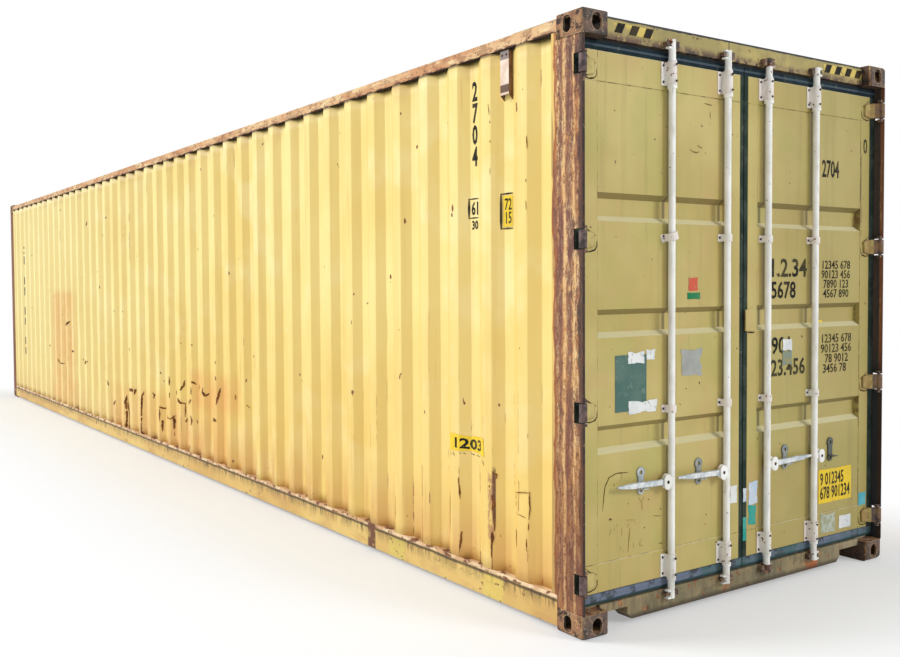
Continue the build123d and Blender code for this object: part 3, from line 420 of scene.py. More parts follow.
def casting_finish(name):
    """Scaly rust on the corner castings: brown sides, grey end faces, pale rims painted as highlights,
    painted shade inside the openings and underneath.
    """
    f = Finish(name, 0.8)
    f.colour = f.rust(seed=2, dark="38241D", mid="7B5138", light="A47C57")
    f.blots("D3B386", 0.8, 50, 0.58, 0.66, 6, 4)  # flecks
    front = f.band(f.facing_x, 0.45, 0.8)
    dark = f.mottle("3F3A36", "6B5348", 18, 0.42, 0.62, 9, 6)
    dark = f.mottle(dark, "8C7460", 70, 0.52, 0.62, 12, 6, 0.75)
    f.coat(front, dark)
    f.coat((f.edges(0.009), f.spots(28, 0.35, 0.52, 14)), "C9B08A", 0.85)  # rim: painted highlight along the edges
    # Painted shade: upright faces inside the openings and the undersides are darkened
    inside = f.times(f.within(f.abs(f.y), 1.055, 1.206, 0.004), f.within(f.abs(f.x), 5.93, 6.084, 0.004))
    upright = f.band(f.abs(f.facing_z), 0.5, 0.8, 1, 0)
    f.coat((inside, upright), "15100E", 0.9)
    f.coat(f.band(f.facing_z, -0.5, -0.8), "1A1310", 0.85)
    return f.finish(f.math("ADD", f.noise(26, 2, 6), f.noise(90, 5, 3)), 0.5, 0.004)


def header_finish(name):
    """Dull tan face with a black upper edge, yellow ground under the stripes and rust along its foot."""
    f = Finish(name, 0.6)
    f.base("B7A560", "A19256", 3, 0.4, 0.6)
    f.blots("8E7F52", 0.6, 8, 0.5, 0.66, 3, 4)
    ends = f.most(f.within(f.y, -0.962, -0.705, 0.004), f.within(f.y, 0.69, 1.05, 0.004))
    ends = f.times(ends, f.within(f.z, 2.822, 2.868, 0.002), f.spots(9, 0.34, 0.46, 2))
    f.coat(ends, "DDC25C", 0.85)
    f.coat(f.band(f.z, 2.825, 2.8), "8D7450", 0.7)  # low
    rusty = f.times(f.band(f.z, 2.835, 2.785, 0, 1), f.spots(13, 0.44, 0.5, 4, 4))
    f.coat(rusty, f.rust(seed=6, dark="17100C", mid="33231A", light="5A4028"))
    f.blots("6A4A2C", 1, 20, 0.66, 0.7, 9)
    f.coat((f.within(f.y, -0.137, -0.131, 0.002), f.band(f.z, 2.8, 2.81)), "2A241C")  # crack
    f.coat(f.band(f.z, 2.788, 2.784), "211F1F")  # recess: painted shade at the header's foot above the gasket
    ragged_top = f.shift(f.z, f.noise(14, 13, 4), 0.012)
    f.coat(f.most(f.band(ragged_top, 2.883, 2.887), f.band(f.facing_z, 0.5, 0.8)), "1B1918")  # top
    return f.finish(f.noise(40, 2, 4), 0.2, 0.002)


def sill_finish(name):
    """Mottled tan, olive and brown sill with runs, a dark foot, painted shade along its top and fresh rust
    by one keeper.
    """
    f = Finish(name, 0.75)
    f.base("85795A", "9A8862", 4, 0.4, 0.6)
    f.blots("70694F", 0.7, 12, 0.5, 0.6, 2, 4)
    f.blots("5D4C38", 0.5, (26, 26, 3), 0.48, 0.66, 4)  # runs
    f.blots(f.rust(seed=8), 1, 22, 0.58, 0.66, 7, 4)
    f.coat(f.band(f.y, 0.6, 1.1, 0, 0.4), "B3A98C")
    f.coat((f.within(f.y, 0.53, 0.68, 0.05), f.spots(9, 0.4, 0.6, 9)), "B5632C")  # fresh
    f.coat(f.band(f.z, 0.06, 0.03), "33291F", 0.8)  # foot
    f.coat(f.band(f.z, 0.128, 0.131), "33352F")  # recess: painted shade along the sill's top, under the gasket
    return f.finish(f.noise(36, 2, 5), 0.3, 0.003)


def top_rail_finish(name):
    """Pale tan rail with pinkish rust, dark chips along its edges and painted shade on its underside."""
    f = Finish(name, 0.75)
    f.base("E0B685", "CC9566", (2, 8, 8), 0.42, 0.6)
    f.blots("EBCF9C", 1, (6, 26, 26), 0.5, 0.66, 4, 4)
    rims = f.most(f.band(f.z, RAIL_FOOT + 0.014, RAIL_FOOT + 0.004), f.band(f.z, 2.872, 2.886))
    worn = f.spots((14, 34, 34), 0.5, 0.56, 7, 6, 0.7)
    f.coat((worn, f.band(rims, 0, 1, 0.55, 1)), "84502F")
    f.coat((rims, f.spots((11, 30, 30), 0.46, 0.54, 8)), "5A3324")
    f.blots("4B2B1E", 1, 40, 0.62, 0.7, 9)
    # Painted shade on the underside
    f.coat(f.band(f.facing_z, -0.4, -0.8), "241712")
    return f.finish(f.noise(34, 2, 5), 0.3, 0.003)


def bottom_rail_finish(name):
    """Tan-yellow rail under grime, with painted shade under its top flange, a crumbling pale upper edge,
    patches and spots of rust.
    """
    f = Finish(name, 0.6)
    f.base("E2C275", "D2AB62", 0.9, 0.4, 0.62)
    f.coat((f.band(f.z, 0.06, 0.15), f.spots((16, 1, 2.5), 0.36, 0.6, 3)), "8A7342", 0.7)  # painted shade under the flange, broken into vertical grime streaks
    f.coat((f.spots((60, 1, 7), 0.56, 0.6, 5), f.band(f.z, 0.08, 0.14)), "5A4A28", 0.8)  # scratches
    f.blots("C0945A", 0.5, 3, 0.5, 0.66, 4, stretch=(1, 1, 3))
    wobble = f.shift(f.z, f.noise((5, 1, 1), 6, 4), 0.02)
    # Painted shadow right under the flange edge
    f.coat(f.within(wobble, 0.15, 0.166, 0.005), "382B1A", 0.85)
    edge = f.band(wobble, 0.164, 0.17)
    f.coat(edge, f.mottle("EBCFA8", "CFA67C", (9, 9, 9), 0.4, 0.6, 7))
    f.coat((edge, f.spots((12, 20, 20), 0.52, 0.58, 9)), "7A4A30")
    near_side = f.band(f.y, 0.1, -0.1)
    for low, high, tone in ((4.46, 4.63, "D9C964"), (5.37, 5.53, "E0CB62")):
        blot = f.shift(f.x, f.noise(9, low, 4), 0.12)
        patch = f.times(f.within(blot, low + 0.06, high + 0.06, 0.012), f.band(f.z, 0.15, 0.13), near_side)
        f.coat(patch, tone, 0.55)
        f.coat((patch, f.spots(34, 0.6, 0.64, low)), "6B4A2A")
    f.coat((f.within(f.x, 4.21, 4.3, 0.012), f.spots(14, 0.35, 0.5, 10), near_side), "6A3F26")  # strip
    f.blots("74452A", 1, 18, 0.67, 0.7, 12)
    return f.finish(f.noise(30, 2, 4), 0.2, 0.002)


def gasket_finish(name):
    """Weathered rubber: dark teal above, blue-grey and teal along the foot, a lighter middle line that is
    a painted highlight.
    """
    f = Finish(name, 0.9)
    f.shader.inputs["Specular IOR Level"].default_value = MATT
    f.base("28352F", "3B463E", 8, 0.4, 0.6)
    f.coat(f.band(f.z, 2.72, 2.735), f.mottle("17252C", "223338", 7, 0.42, 0.6, 2))  # high
    low = f.band(f.z, 0.19, 0.18)
    grey = f.mottle("717A90", "4C6A6C", 3, 0.42, 0.58, 3)
    grey = f.mottle(grey, "4B4F55", 14, 0.5, 0.62, 4)
    f.coat(low, grey)
    f.coat((low, f.band(f.z, 0.15, 0.144)), "33474A")
    # Painted highlight along the middle of each gasket
    line = f.most(f.within(f.z, 2.746, 2.756, 0.002), f.within(f.z, 0.158, 0.168, 0.002))
    f.coat(line, "64727E", 0.5)
    f.blots("7C7A66", 0.4, 30, 0.6, 0.7, 6)
    return f.finish(f.noise(60, 2, 3), 0.15, 0.001)


def bar_finish(name, tone="FCFBF6", rusty=0.7):
    """Off-white paint with grime and small rust chips."""
    f = Finish(name, 0.5)
    f.base(tone, "EBE9E2", 5, 0.4, 0.65)
    f.blots("B9B6AC", 0.5, (40, 40, 6), 0.55, 0.7, 3)
    f.blots("7A5236", 1, 45, rusty, rusty + 0.03, 6, 3)
    ends = f.most(f.band(f.z, 2.782, 2.79), f.band(f.z, 0.135, 0.125))
    f.coat((ends, f.spots(24, 0.58, 0.62, 9)), f.rust(seed=10))
    f.coat((f.edges(0.004), f.spots(16, 0.3, 0.5, 8), ends), "2A221D", 0.85)  # rim
    worst = f.times(ends, f.within(f.y, 0.05, 0.3, 0.02), f.spots(24, 0.36, 0.44, 12))
    f.coat(worst, f.rust(seed=13, dark="2A1A14", mid="54301E", light="7A4A2C"))
    return f.finish(f.noise(60, 2, 3), 0.1, 0.001)


def zinc_finish(name):
    """Dull zinc with white bloom, grey scuffs and dark outlines."""
    f = Finish(name, 0.5, metallic=0.2)
    f.base("E6E8E8", "BCC5CA", 20, 0.4, 0.6, 0, 4)
    f.blots("6F655A", 1, 60, 0.62, 0.7, 4)
    f.coat(f.within(f.y, 0.62, 1.0, 0.01), "39443A", 0.85)
    f.coat((f.band(f.x, 6.052, 6.046), f.band(f.y, -0.6, -0.5, 0.25, 0.6)), "4A5148")  # plates
    f.coat((f.edges(0.006, 0.01, 0.1), f.spots(16, 0.35, 0.5, 6)), "2C2A28", 0.8)  # rim
    return f.finish(f.noise(70, 0, 3), 0.15, 0.001)


def bare_finish(name):
    """Rusty steel with painted highlights along its edges."""
    f = Finish(name, 0.7)
    f.colour = f.rust(seed=3, dark="1F1714", mid="46322A", light="6E5444")
    f.coat((f.edges(0.004), f.spots(30, 0.35, 0.55, 5)), "D6CBBB", 0.7)  # rim: painted highlight along the edges
    return f.finish(f.noise(60, 0, 4), 0.3, 0.002)


def vent_finish(name):
    """Pinkish white face with brown sides, and painted shade for the openings and on the upper flange."""
    f = Finish(name, 0.6)
    f.base("F0DDCB", "E2C6B0", 12, 0.4, 0.6)
    brown = f.mottle("6E4A2E", "8A6444", 20, 0.4, 0.6, 3)
    f.coat(f.band(f.facing_x, 0.3, 0.6), brown)
    f.coat(f.band(f.facing_z, -0.3, -0.6), "4E3424")
    front = f.times(f.band(f.abs(f.facing_y), 0.5, 0.8), f.band(f.x, 4, 5))
    f.coat((f.within(f.z, VENT_LOW.z + 0.04, VENT_LOW.z + 0.078, 0.002), front), "5E4029")  # opening: painted shade standing in for the opening
    f.coat((f.band(f.z, VENT_HIGH.z - 0.046, VENT_HIGH.z - 0.042), front), "6B5D5C", 0.85)  # flange: painted shade on the upper flange
    return f.finish(f.noise(60, 0, 3), 0.15, 0.001)


def hinge_finish(name):
    """Door paint on the blades, outlined in dark rust, and bare rusty metal at the pins."""
    f = Finish(name, 0.6)
    paint = f.mottle("C2B06E", "AD9A58", 12, 0.4, 0.6)
    metal = f.mottle("33292A", "6A5450", 30, 0.4, 0.6, 3, 4)
    right = f.times(f.band(f.y, 0.5, 1.0), f.spots(20, 0.35, 0.55, 7))
    paint = f.mix(f.times(right, 0.7), paint, "94703F")
    metal = f.mix(f.times(right, 0.7), metal, "86643A")
    f.colour = f.mix(f.band(f.abs(f.y), 1.158, 1.166), paint, metal)
    f.coat((f.edges(0.007), f.spots(14, 0.25, 0.42, 5)), "2A1D15", 0.92)  # rim
    return f.finish(f.noise(60, 0, 3), 0.15, 0.001)


def roof_finish(name):
    """Faded roof paint with pools of rust between the ridges."""
    f = Finish(name, 0.65)
    f.base("DDC281", "CBAA66", 1.2, 0.4, 0.6)
    f.blots("B07C48", 0.45, 3.5, 0.52, 0.64, 4, 5)
    f.blots("80553A", 1, 9, 0.65, 0.71, 6, 5)
    f.coat((f.edges(0.01), f.spots(8, 0.4, 0.6, 8)), "8A5A35")
    return f.finish(f.noise(30, 0, 5), 0.25, 0.002)


def under_finish(name):
    """Black wax coat with dust and rust."""
    f = Finish(name, 0.8)
    f.base("26221E", "3D332A", 6, 0.42, 0.62, 0, 5)
    f.blots("6B4630", 1, 20, 0.6, 0.68, 4)
    return f.finish(f.noise(30, 0, 4), 0.25, 0.002)


def plywood_finish(name):
    """Worn plywood boards, laid along the container, with scuffs."""
    f = Finish(name, 0.7)
    grain = f.noise((3, 60, 60), 0, 5)
    f.colour = f.mix(f.band(grain, 0.35, 0.65), "7A5636", "9C7650")
    board = f.math("FRACT", f.math("DIVIDE", f.y, 0.29))
    seam = f.most(f.band(board, 0.985, 0.995), f.band(board, 0.015, 0.005))
    joint = f.math("FRACT", f.math("DIVIDE", f.x, 2.4))
    seam = f.most(seam, f.band(joint, 0.998, 0.999))
    f.coat(seam, "2B2018")
    f.blots("4F3B29", 0.6, 2.2, 0.5, 0.7, 5, 4)
    return f.finish(f.math("SUBTRACT", grain, seam), 0.3, 0.002)


def plain_finish(name, tone, wear, scale=40, low=0.6):
    """One colour worn through in small spots to another."""
    f = Finish(name, 0.6)
    f.shader.inputs["Specular IOR Level"].default_value = MATT
    f.colour = f.mix(f.times(f.spots(9, 0.4, 0.6, 3), 0.4), tone, wear)
    f.blots(wear, 1, scale, low, low + 0.05, 5, 4)
    return f.finish(f.noise(80, 0, 2), 0.1, 0.0005)


# Folds of the long walls: start, pitch and places within a pitch
FOLD_STEPS = (0.0, INNER_FLAT / PITCH, (INNER_FLAT + SLOPE) / PITCH, 1 - SLOPE / PITCH, 1.0)
WALL_FOLDS = (WALL_BOX[1].x - END_SLOPE, PITCH, FOLD_STEPS)
FINISHES = {
    "wall_paint": wall_finish("long_wall_paint", "x", WALL_FOLDS),
    "front_paint": wall_finish("front_wall_paint", "y", None),
    "door_paint": door_finish("door_paint_worn"),
    "posts": post_finish("post_rust"),
    "castings": casting_finish("casting_rust"),
    "header": header_finish("header_paint"),
    "sill": sill_finish("sill_paint"),
    "top_rail": top_rail_finish("top_rail_rust"),
    "bottom_rail": bottom_rail_finish("bottom_rail_paint"),
    "gasket": gasket_finish("gasket_rubber_worn"),
    "bars": bar_finish("bar_paint_worn"),
    "brackets": bar_finish("bracket_paint", "F1E6DF", 0.64),
    "vents": vent_finish("vent_paint"),
    "zinc": zinc_finish("zinc_dull"),
    "bare": bare_finish("bare_steel_rust"),
    "hinges": hinge_finish("hinge_paint"),
    "roof": roof_finish("roof_paint_worn"),
    "under": under_finish("underframe_wax"),
    "plywood": plywood_finish("plywood_boards"),
    "bolts": plain_finish("bolt_dark", "2E2723", "5B4334"),
}

# Finishes of one colour: name, colour, worn colour, scale of the worn spots, where they start
PLAIN = (
    ("sign_teal", "4F6E66", "6E8378", 25, 0.6), ("paper_white", "E8EAE8", "BFC4C6", 40, 0.6),
    ("paper_grey", "A9ABA5", "8B8D88", 20, 0.6), ("smear_blue", "7E908C", "9A9468", 30, 0.55),
    ("spot_blue", "4FA9B8", "7CC3CC", 30, 0.6), ("paper_pale", "BCC2B4", "A5A98C", 25, 0.5),
    ("paper_blue", "BFD0E2", "E4E6E8", 20, 0.6), ("stroke_rust", "5A3414", "93582A", 60, 0.54),
    ("stroke_dark", "4A3818", "7A6430", 60, 0.6), ("stroke_black", "241B12", "5A4526", 60, 0.6),
    ("stroke_faint", "8A763C", "A08F50", 60, 0.56), ("tape_red", "D0604A", "B97F5E", 30, 0.6),
    ("tape_green", "1F7A4C", "4B8A60", 30, 0.6), ("tape_teal", "2E9C8F", "5FB0A4", 30, 0.6),
    ("label_yellow", "F2CF3A", "D8B84C", 30, 0.64), ("ink_black", "161511", "6F663F", 55, 0.66),
    ("black_stripe_and_shadow", "0F0E0D", "5A4B30", 45, 0.66),
)
for key, tone, wear, scale, low in PLAIN:
    FINISHES[key] = plain_finish(key, tone, wear, scale, low)


def dress(node, finish, bevel=0.0):
    """Gives a CAD node its material and softens its edges."""
    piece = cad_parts[node]
    piece.data.materials.clear()
    piece.data.materials.append(FINISHES[finish])
    if bevel:
        weld = piece.modifiers.new("weld", "WELD")
        weld.merge_threshold = WELD
        soften = piece.modifiers.new("soften", "BEVEL")
        soften.width = bevel
        soften.segments = 2
        soften.limit_method = "ANGLE"
        soften.angle_limit = SOFT_ANGLE
        soften.use_clamp_overlap = True


# CAD nodes by their finish and the width of their softened edges
DRESS = {
    ("castings", 0): "castings_door_top castings_door_bottom castings_front_top castings_front_bottom",
    ("posts", 0.001): "door_posts front_posts",
    ("header", 0.002): "door_header",
    ("top_rail", 0.002): "front_header",
    ("sill", 0.002): "door_sill",
    ("bottom_rail", 0.002): "front_sill",
    ("top_rail", 0): "top_rails",
    ("bottom_rail", 0): "bottom_rails",
    ("bare", 0.001): "hinge_pins lock_keepers",
    ("wall_paint", 0): "side_wall_left side_wall_right",
    ("front_paint", 0): "front_wall",
    ("roof", 0): "roof roof_corner_plates",
    ("under", 0): "cross_members tunnel_plate tunnel_sides tunnel_bows",
    ("plywood", 0): "floor",
    ("vents", 0.001): "vents",
    ("door_paint", 0.002): "cover_plate door_left_frame door_right_frame",
    ("door_paint", 0): "door_left_panel door_right_panel",
    ("gasket", 0.002): "door_left_gasket door_right_gasket",
    ("hinges", 0.001): "door_left_hinges door_right_hinges",
    ("brackets", 0.001): "door_left_brackets door_right_brackets",
    ("zinc", 0.001): "door_left_catches door_right_catches",
    ("zinc", 0.002): "handle_left_outer handle_left_inner handle_right_inner",
    ("bars", 0): "bar_left_outer bar_left_inner bar_right_inner bar_right_outer",
}
for (finish, bevel), nodes in DRESS.items():
    for node in nodes.split():
        dress(node, finish, bevel)


def add_piece(name, mesh, body, finish):
    """Puts a finished mesh into the scene on its body."""
    piece = bpy.data.objects.new(name, mesh)
    bpy.context.scene.collection.objects.link(piece)
    mesh.materials.append(FINISHES[finish])
    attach(piece, body)
    return piece


def mesh_from(name, points, faces):
    mesh = bpy.data.meshes.new(name)
    mesh.from_pydata(points, [], faces)
    mesh.update()
    return mesh


def smooth(mesh):
    mesh.polygons.foreach_set("use_smooth", [True] * len(mesh.polygons))


def thicken(piece, thickness, offset):
    sheet = piece.modifiers.new("thickness", "SOLIDIFY")
    sheet.thickness = thickness
    sheet.offset = offset


def cut(work, place, direction):
    """Cuts the faces of a mesh along a plane."""
    everything = work.verts[:] + work.edges[:] + work.faces[:]
    bmesh.ops.bisect_plane(work, geom=everything, plane_co=place, plane_no=direction)


# Long walls: the folded sheet with rounded folds, and its dents
def rounded(points, radius, steps=3):
    """Replaces each corner of a run of points by a short arc."""
    result = [points[0]]
    for before, corner, after in zip(points, points[1:], points[2:]):
        a, b, c = Vector(before), Vector(corner), Vector(after)
        back, on = (a - b).normalized(), (c - b).normalized()
        turn = math.pi - back.angle(on)
        reach = min(radius * math.tan(turn / 2), (a - b).length / 2, (c - b).length / 2)
        start, end = b + back * reach, b + on * reach
        for step in range(steps + 1):
            share = step / steps
            first, second = start.lerp(b, share), b.lerp(end, share)
            result.append(tuple(first.lerp(second, share)))
    result.append(points[-1])
    return result


def fold_points(run):
    """Corners (distance, depth) of the folded sheet."""
    here = END_SLOPE
    points = [(0, 0)]
    for _ in range(int((run - 2 * END_SLOPE) / PITCH)):
        rise = here + INNER_FLAT + SLOPE
        points += [(here, WALL_DEPTH), (here + INNER_FLAT, WALL_DEPTH), (rise, 0), (rise + OUTER_FLAT, 0)]
        here += PITCH
    return points + [(here, WALL_DEPTH), (run - END_SLOPE, WALL_DEPTH), (run, 0)]


def wall_depth(x):
    """How far the outside of a long wall lies behind its outer flats at x."""
    along = WALL_BOX[1].x - x
    if along < END_SLOPE:
        return WALL_DEPTH * along / END_SLOPE
    phase = (along - END_SLOPE) % PITCH
    if phase < INNER_FLAT:
        return WALL_DEPTH
    if phase < INNER_FLAT + SLOPE:
        return WALL_DEPTH * (1 - (phase - INNER_FLAT) / SLOPE)
    if phase < INNER_FLAT + SLOPE + OUTER_FLAT:
        return 0
    return WALL_DEPTH * (phase - INNER_FLAT - SLOPE - OUTER_FLAT) / SLOPE


def make_dents(seed, count, x_range, z_range):
    """Dents as (x, z, radius, depth)."""
    chance = random.Random(seed)
    limits = (x_range, z_range, (0.05, 0.16), (0.003, 0.008))
    return [tuple(chance.uniform(*limit) for limit in limits) for _ in range(count)]


def round_castings(node, radius):
    """Shows the castings of a node with rounded outer edges and corners."""
    low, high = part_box(node)
    end = high.x if high.x > 0 else low.x
    lid, lid_inward = (high.z, -1) if high.z > 1 else (low.z, 1)
    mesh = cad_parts[node].data.copy()
    work = bmesh.new()
    work.from_mesh(mesh)
    bmesh.ops.remove_doubles(work, verts=work.verts[:], dist=SAME_PLACE)
    for face, axis in ((end, 0), (low.y, 1), (high.y, 1), (lid, 2)):
        inward = lid_inward if axis == 2 else -math.copysign(1, face)
        direction = Vector([1.0 if index == axis else 0.0 for index in range(3)])
        for share in (0.15, 0.3, 0.5, 0.75, 1.0):
            cut(work, direction * (face + inward * radius * share), direction)
    for vertex in work.verts:
        side = high.y if vertex.co.y > 0 else low.y
        inwards = (-math.copysign(1, end), -math.copysign(1, side), lid_inward)
        core = Vector(vertex.co)
        for axis, (face, inward) in enumerate(zip(Vector((end, side, lid)), inwards)):
            edge = face + inward * radius
            if (core[axis] - edge) * inward < 0:
                core[axis] = edge
        reach = vertex.co - core
        if reach.length > radius:
            vertex.co = core + reach.normalized() * radius
    work.to_mesh(mesh)
    work.free()
    smooth(mesh)
    mesh.set_sharp_from_angle(angle=SHARP_ANGLE)
    mesh.materials.clear()
    mesh.name = f"{node}_rounded"
    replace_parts(add_piece(mesh.name, mesh, "container", "castings"), node)


for node in DRESS["castings", 0].split():
    round_castings(node, LOW_CASTING_RADIUS if node.endswith("bottom") else TOP_CASTING_RADIUS)


def long_wall(side, node, dents):
    """Shows a long wall by a sheet with rounded folds, slight waves and dents."""
    low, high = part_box(node)
    profile = rounded(fold_points(high.x - low.x), FOLD_RADIUS)
    points = []
    for along, depth in profile:
        for row in range(WALL_ROWS + 1):
            share = row / WALL_ROWS
            z = low.z + (high.z - low.z) * share
            x = high.x - along
            hold = min(1, 10 * share, 10 * (1 - share), 4 * along, 4 * (high.x - low.x - along))
            wave = noise.noise(Vector((x * 1.7, z * 1.3, side * 3.1)))
            dent = WALL_WAVE * (1 + wave)
            for dent_x, dent_z, radius, deep in dents:
                away = ((x - dent_x) ** 2 + (z - dent_z) ** 2) / radius ** 2
                if away < 6:
                    dent += deep * math.exp(-away)
            points.append((x, side * (WALL_OUT - depth - max(0, hold) * dent), z))
    faces = []
    for column in range(len(profile) - 1):
        for row in range(WALL_ROWS):
            first = column * (WALL_ROWS + 1) + row
            ring = (first, first + 1, first + WALL_ROWS + 2, first + WALL_ROWS + 1)
            faces.append(ring if side > 0 else ring[::-1])
    mesh = mesh_from(f"{node}_sheet", points, faces)
    smooth(mesh)
    wall = add_piece(f"{node}_sheet", mesh, "container", "wall_paint")
    thicken(wall, SHEET, -1)
    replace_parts(wall, node)


low_dents = make_dents(5, 22, (-3.6, 2.5), (0.25, 1.05))
left_dents = low_dents + make_dents(8, 12, (-5.8, 5.0), (0.3, 2.5)) + [(5.67, 0.62, 0.05, 0.009)]
long_wall(-1, "side_wall_left", left_dents)
long_wall(1, "side_wall_right", make_dents(12, 40, (-5.6, 5.6), (0.3, 2.5)))


# Surfaces that thin pieces lie on: place along the surface, height and lift give a point
def faces_doors(x):
    return lambda u, v, lift: Vector((x + lift, u, v))


on_door = faces_doors(PANEL_X)
on_stile = faces_doors(LEAF_X)
on_gasket = faces_doors(GASKET_X)
on_header = faces_doors(HEADER_X)


def on_wall(u, v, lift):
    return Vector((u, -(WALL_OUT - wall_depth(u)) - lift - WALL_CLEAR, v))


def on_rail(u, v, lift):
    return Vector((u, RAIL_BOX[0].y - lift, v))


def fold_places(low, high):
    """Where the folds of the long wall cross a stretch of it."""
    steps = (0, INNER_FLAT, INNER_FLAT + SLOPE, INNER_FLAT + SLOPE + OUTER_FLAT)
    start = WALL_BOX[1].x - END_SLOPE
    count = int((start - WALL_BOX[0].x) / PITCH) + 1
    found = [start - k * PITCH - step for k in range(count) for step in steps]
    return [x for x in found if low < x < high]


def lay(mesh, surface, lift):
    """Lays a flat mesh, drawn in X and Y, on a surface, cut where the long wall folds."""
    work = bmesh.new()
    work.from_mesh(mesh)
    if surface is on_wall:
        spread = [v.co.x for v in work.verts]
        for place in fold_places(min(spread), max(spread)):
            cut(work, (place, 0, 0), (1, 0, 0))
    bmesh.ops.triangulate(work, faces=work.faces[:])
    for vertex in work.verts:
        vertex.co = surface(vertex.co.x, vertex.co.y, lift)
    work.to_mesh(mesh)
    work.free()


def ragged(box, tear, seed):
    """Outline of a torn rectangle; box and tear are in millimetres."""
    chance = random.Random(seed)
    u0, u1, v0, v1 = (value / 1000 for value in box)
    tear /= 1000
    corners = [(u0, v0), (u1, v0), (u1, v1), (u0, v1)]
    centre = Vector(((u0 + u1) / 2, (v0 + v1) / 2))
    outline = []
    depth = tear / 2
    for start, end in zip(corners, corners[1:] + corners[:1]):
        a, b = Vector(start), Vector(end)
        count = max(1, int((b - a).length / TEAR_STEP))
        for index in range(count):
            point = a.lerp(b, index / count)
            inward = (centre - point).normalized()
            depth += (chance.uniform(0, tear) - depth) * 0.5
            outline.append(tuple(point + inward * depth))
    return outline


def sticker(name, outline, surface, body, finish, lift=STICKER):
    """A thin sheet cut to an outline and stuck to a surface."""
    mesh = mesh_from(name, [(u, v, 0) for u, v in outline], [list(range(len(outline)))])
    lay(mesh, surface, lift)
    thicken(add_piece(name, mesh, body, finish), STICKER_THICK, 1)


def figures(name, text, box, surface, body, lift, bold):
    """Plain numerals painted on a surface, fitted to a box in millimetres."""
    curve = bpy.data.curves.new(name, "FONT")
    curve.body = text
    curve.resolution_u = 2
    curve.offset = bold
    curve.space_line = 0.82
    holder = bpy.data.objects.new(name + "_text", curve)
    bpy.context.scene.collection.objects.link(holder)
    bpy.context.view_layer.update()
    seen = holder.evaluated_get(bpy.context.evaluated_depsgraph_get())
    mesh = bpy.data.meshes.new_from_object(seen)
    bpy.data.objects.remove(holder)
    bpy.data.curves.remove(curve)
    u0, u1, v0, v1 = (value / 1000 for value in box)
    xs = [v.co.x for v in mesh.vertices]
    ys = [v.co.y for v in mesh.vertices]
    left, right, foot, head = min(xs), max(xs), min(ys), max(ys)
    for vertex in mesh.vertices:
        u = (vertex.co.x - left) / (right - left)
        v = (vertex.co.y - foot) / (head - foot)
        vertex.co = (u0 + u * (u1 - u0), v0 + v * (v1 - v0), 0)
    mesh.name = name
    mesh.materials.clear()
    lay(mesh, surface, lift)
    add_piece(name, mesh, body, "ink_black")


def strokes(*rows):
    """Strokes written as a width and places in millimetres, as (width, place, place, ...) in metres."""
    result = []
    for row in rows:
        width, *flat = (value / 1000 for value in row)
        result.append((width, *zip(flat[0::2], flat[1::2])))
    return result


def ribbons(name, lines, surface, body, finish, rough=0.3, widest=0.05, gaps=0.0, lift=STICKER):
    """Scratches and rust strokes: a width and a run of points each, drawn as an uneven ribbon."""
    chance = random.Random(name)
    points, faces = [], []
    for width, *places in lines:
        line = [Vector(places[0])]
        for start, end in zip(places, places[1:]):
            a, b = Vector(start), Vector(end)
            count = max(1, int((b - a).length / STROKE_STEP))
            line += [a.lerp(b, index / count) for index in range(1, count + 1)]
        first, last = len(points), len(line) - 1
        for index, here in enumerate(line):
            ahead = line[min(index + 1, last)] - line[max(index - 1, 0)]
            across = Vector((-ahead.y, ahead.x)).normalized()
            half = min(width, widest) / 2 * min(1, 0.35 + 0.2 * min(index, last - index))
            left = here + across * half * chance.uniform(1 - rough, 1 + rough)
            right = here - across * half * chance.uniform(1 - rough, 1 + rough)
            points += [(left.x, left.y, 0), (right.x, right.y, 0)]
        for index in range(last):
            a = first + 2 * index
            if chance.random() > gaps:
                faces.append((a + 1, a + 3, a + 2, a))
    mesh = mesh_from(name, points, faces)
    lay(mesh, surface, lift)
    add_piece(name, mesh, body, finish)


# Slanted stripes at the two ends of the header: end, number, first place and pitch
STRIPE_LOW, STRIPE_HIGH, STRIPE_WIDE, STRIPE_LEAN = 2.822, 2.868, 0.050, 0.024
for side, count, first, pitch in (("left", 3, -0.963, 0.097), ("right", 4, 0.689, 0.098)):
    for index in range(count):
        start = first + pitch * index
        foot = [(start, STRIPE_LOW), (start + STRIPE_WIDE, STRIPE_LOW)]
        head = [(start + STRIPE_WIDE + STRIPE_LEAN, STRIPE_HIGH), (start + STRIPE_LEAN, STRIPE_HIGH)]
        sticker(f"stripe_{side}_{index}", foot + head, on_header, "container", "black_stripe_and_shadow")

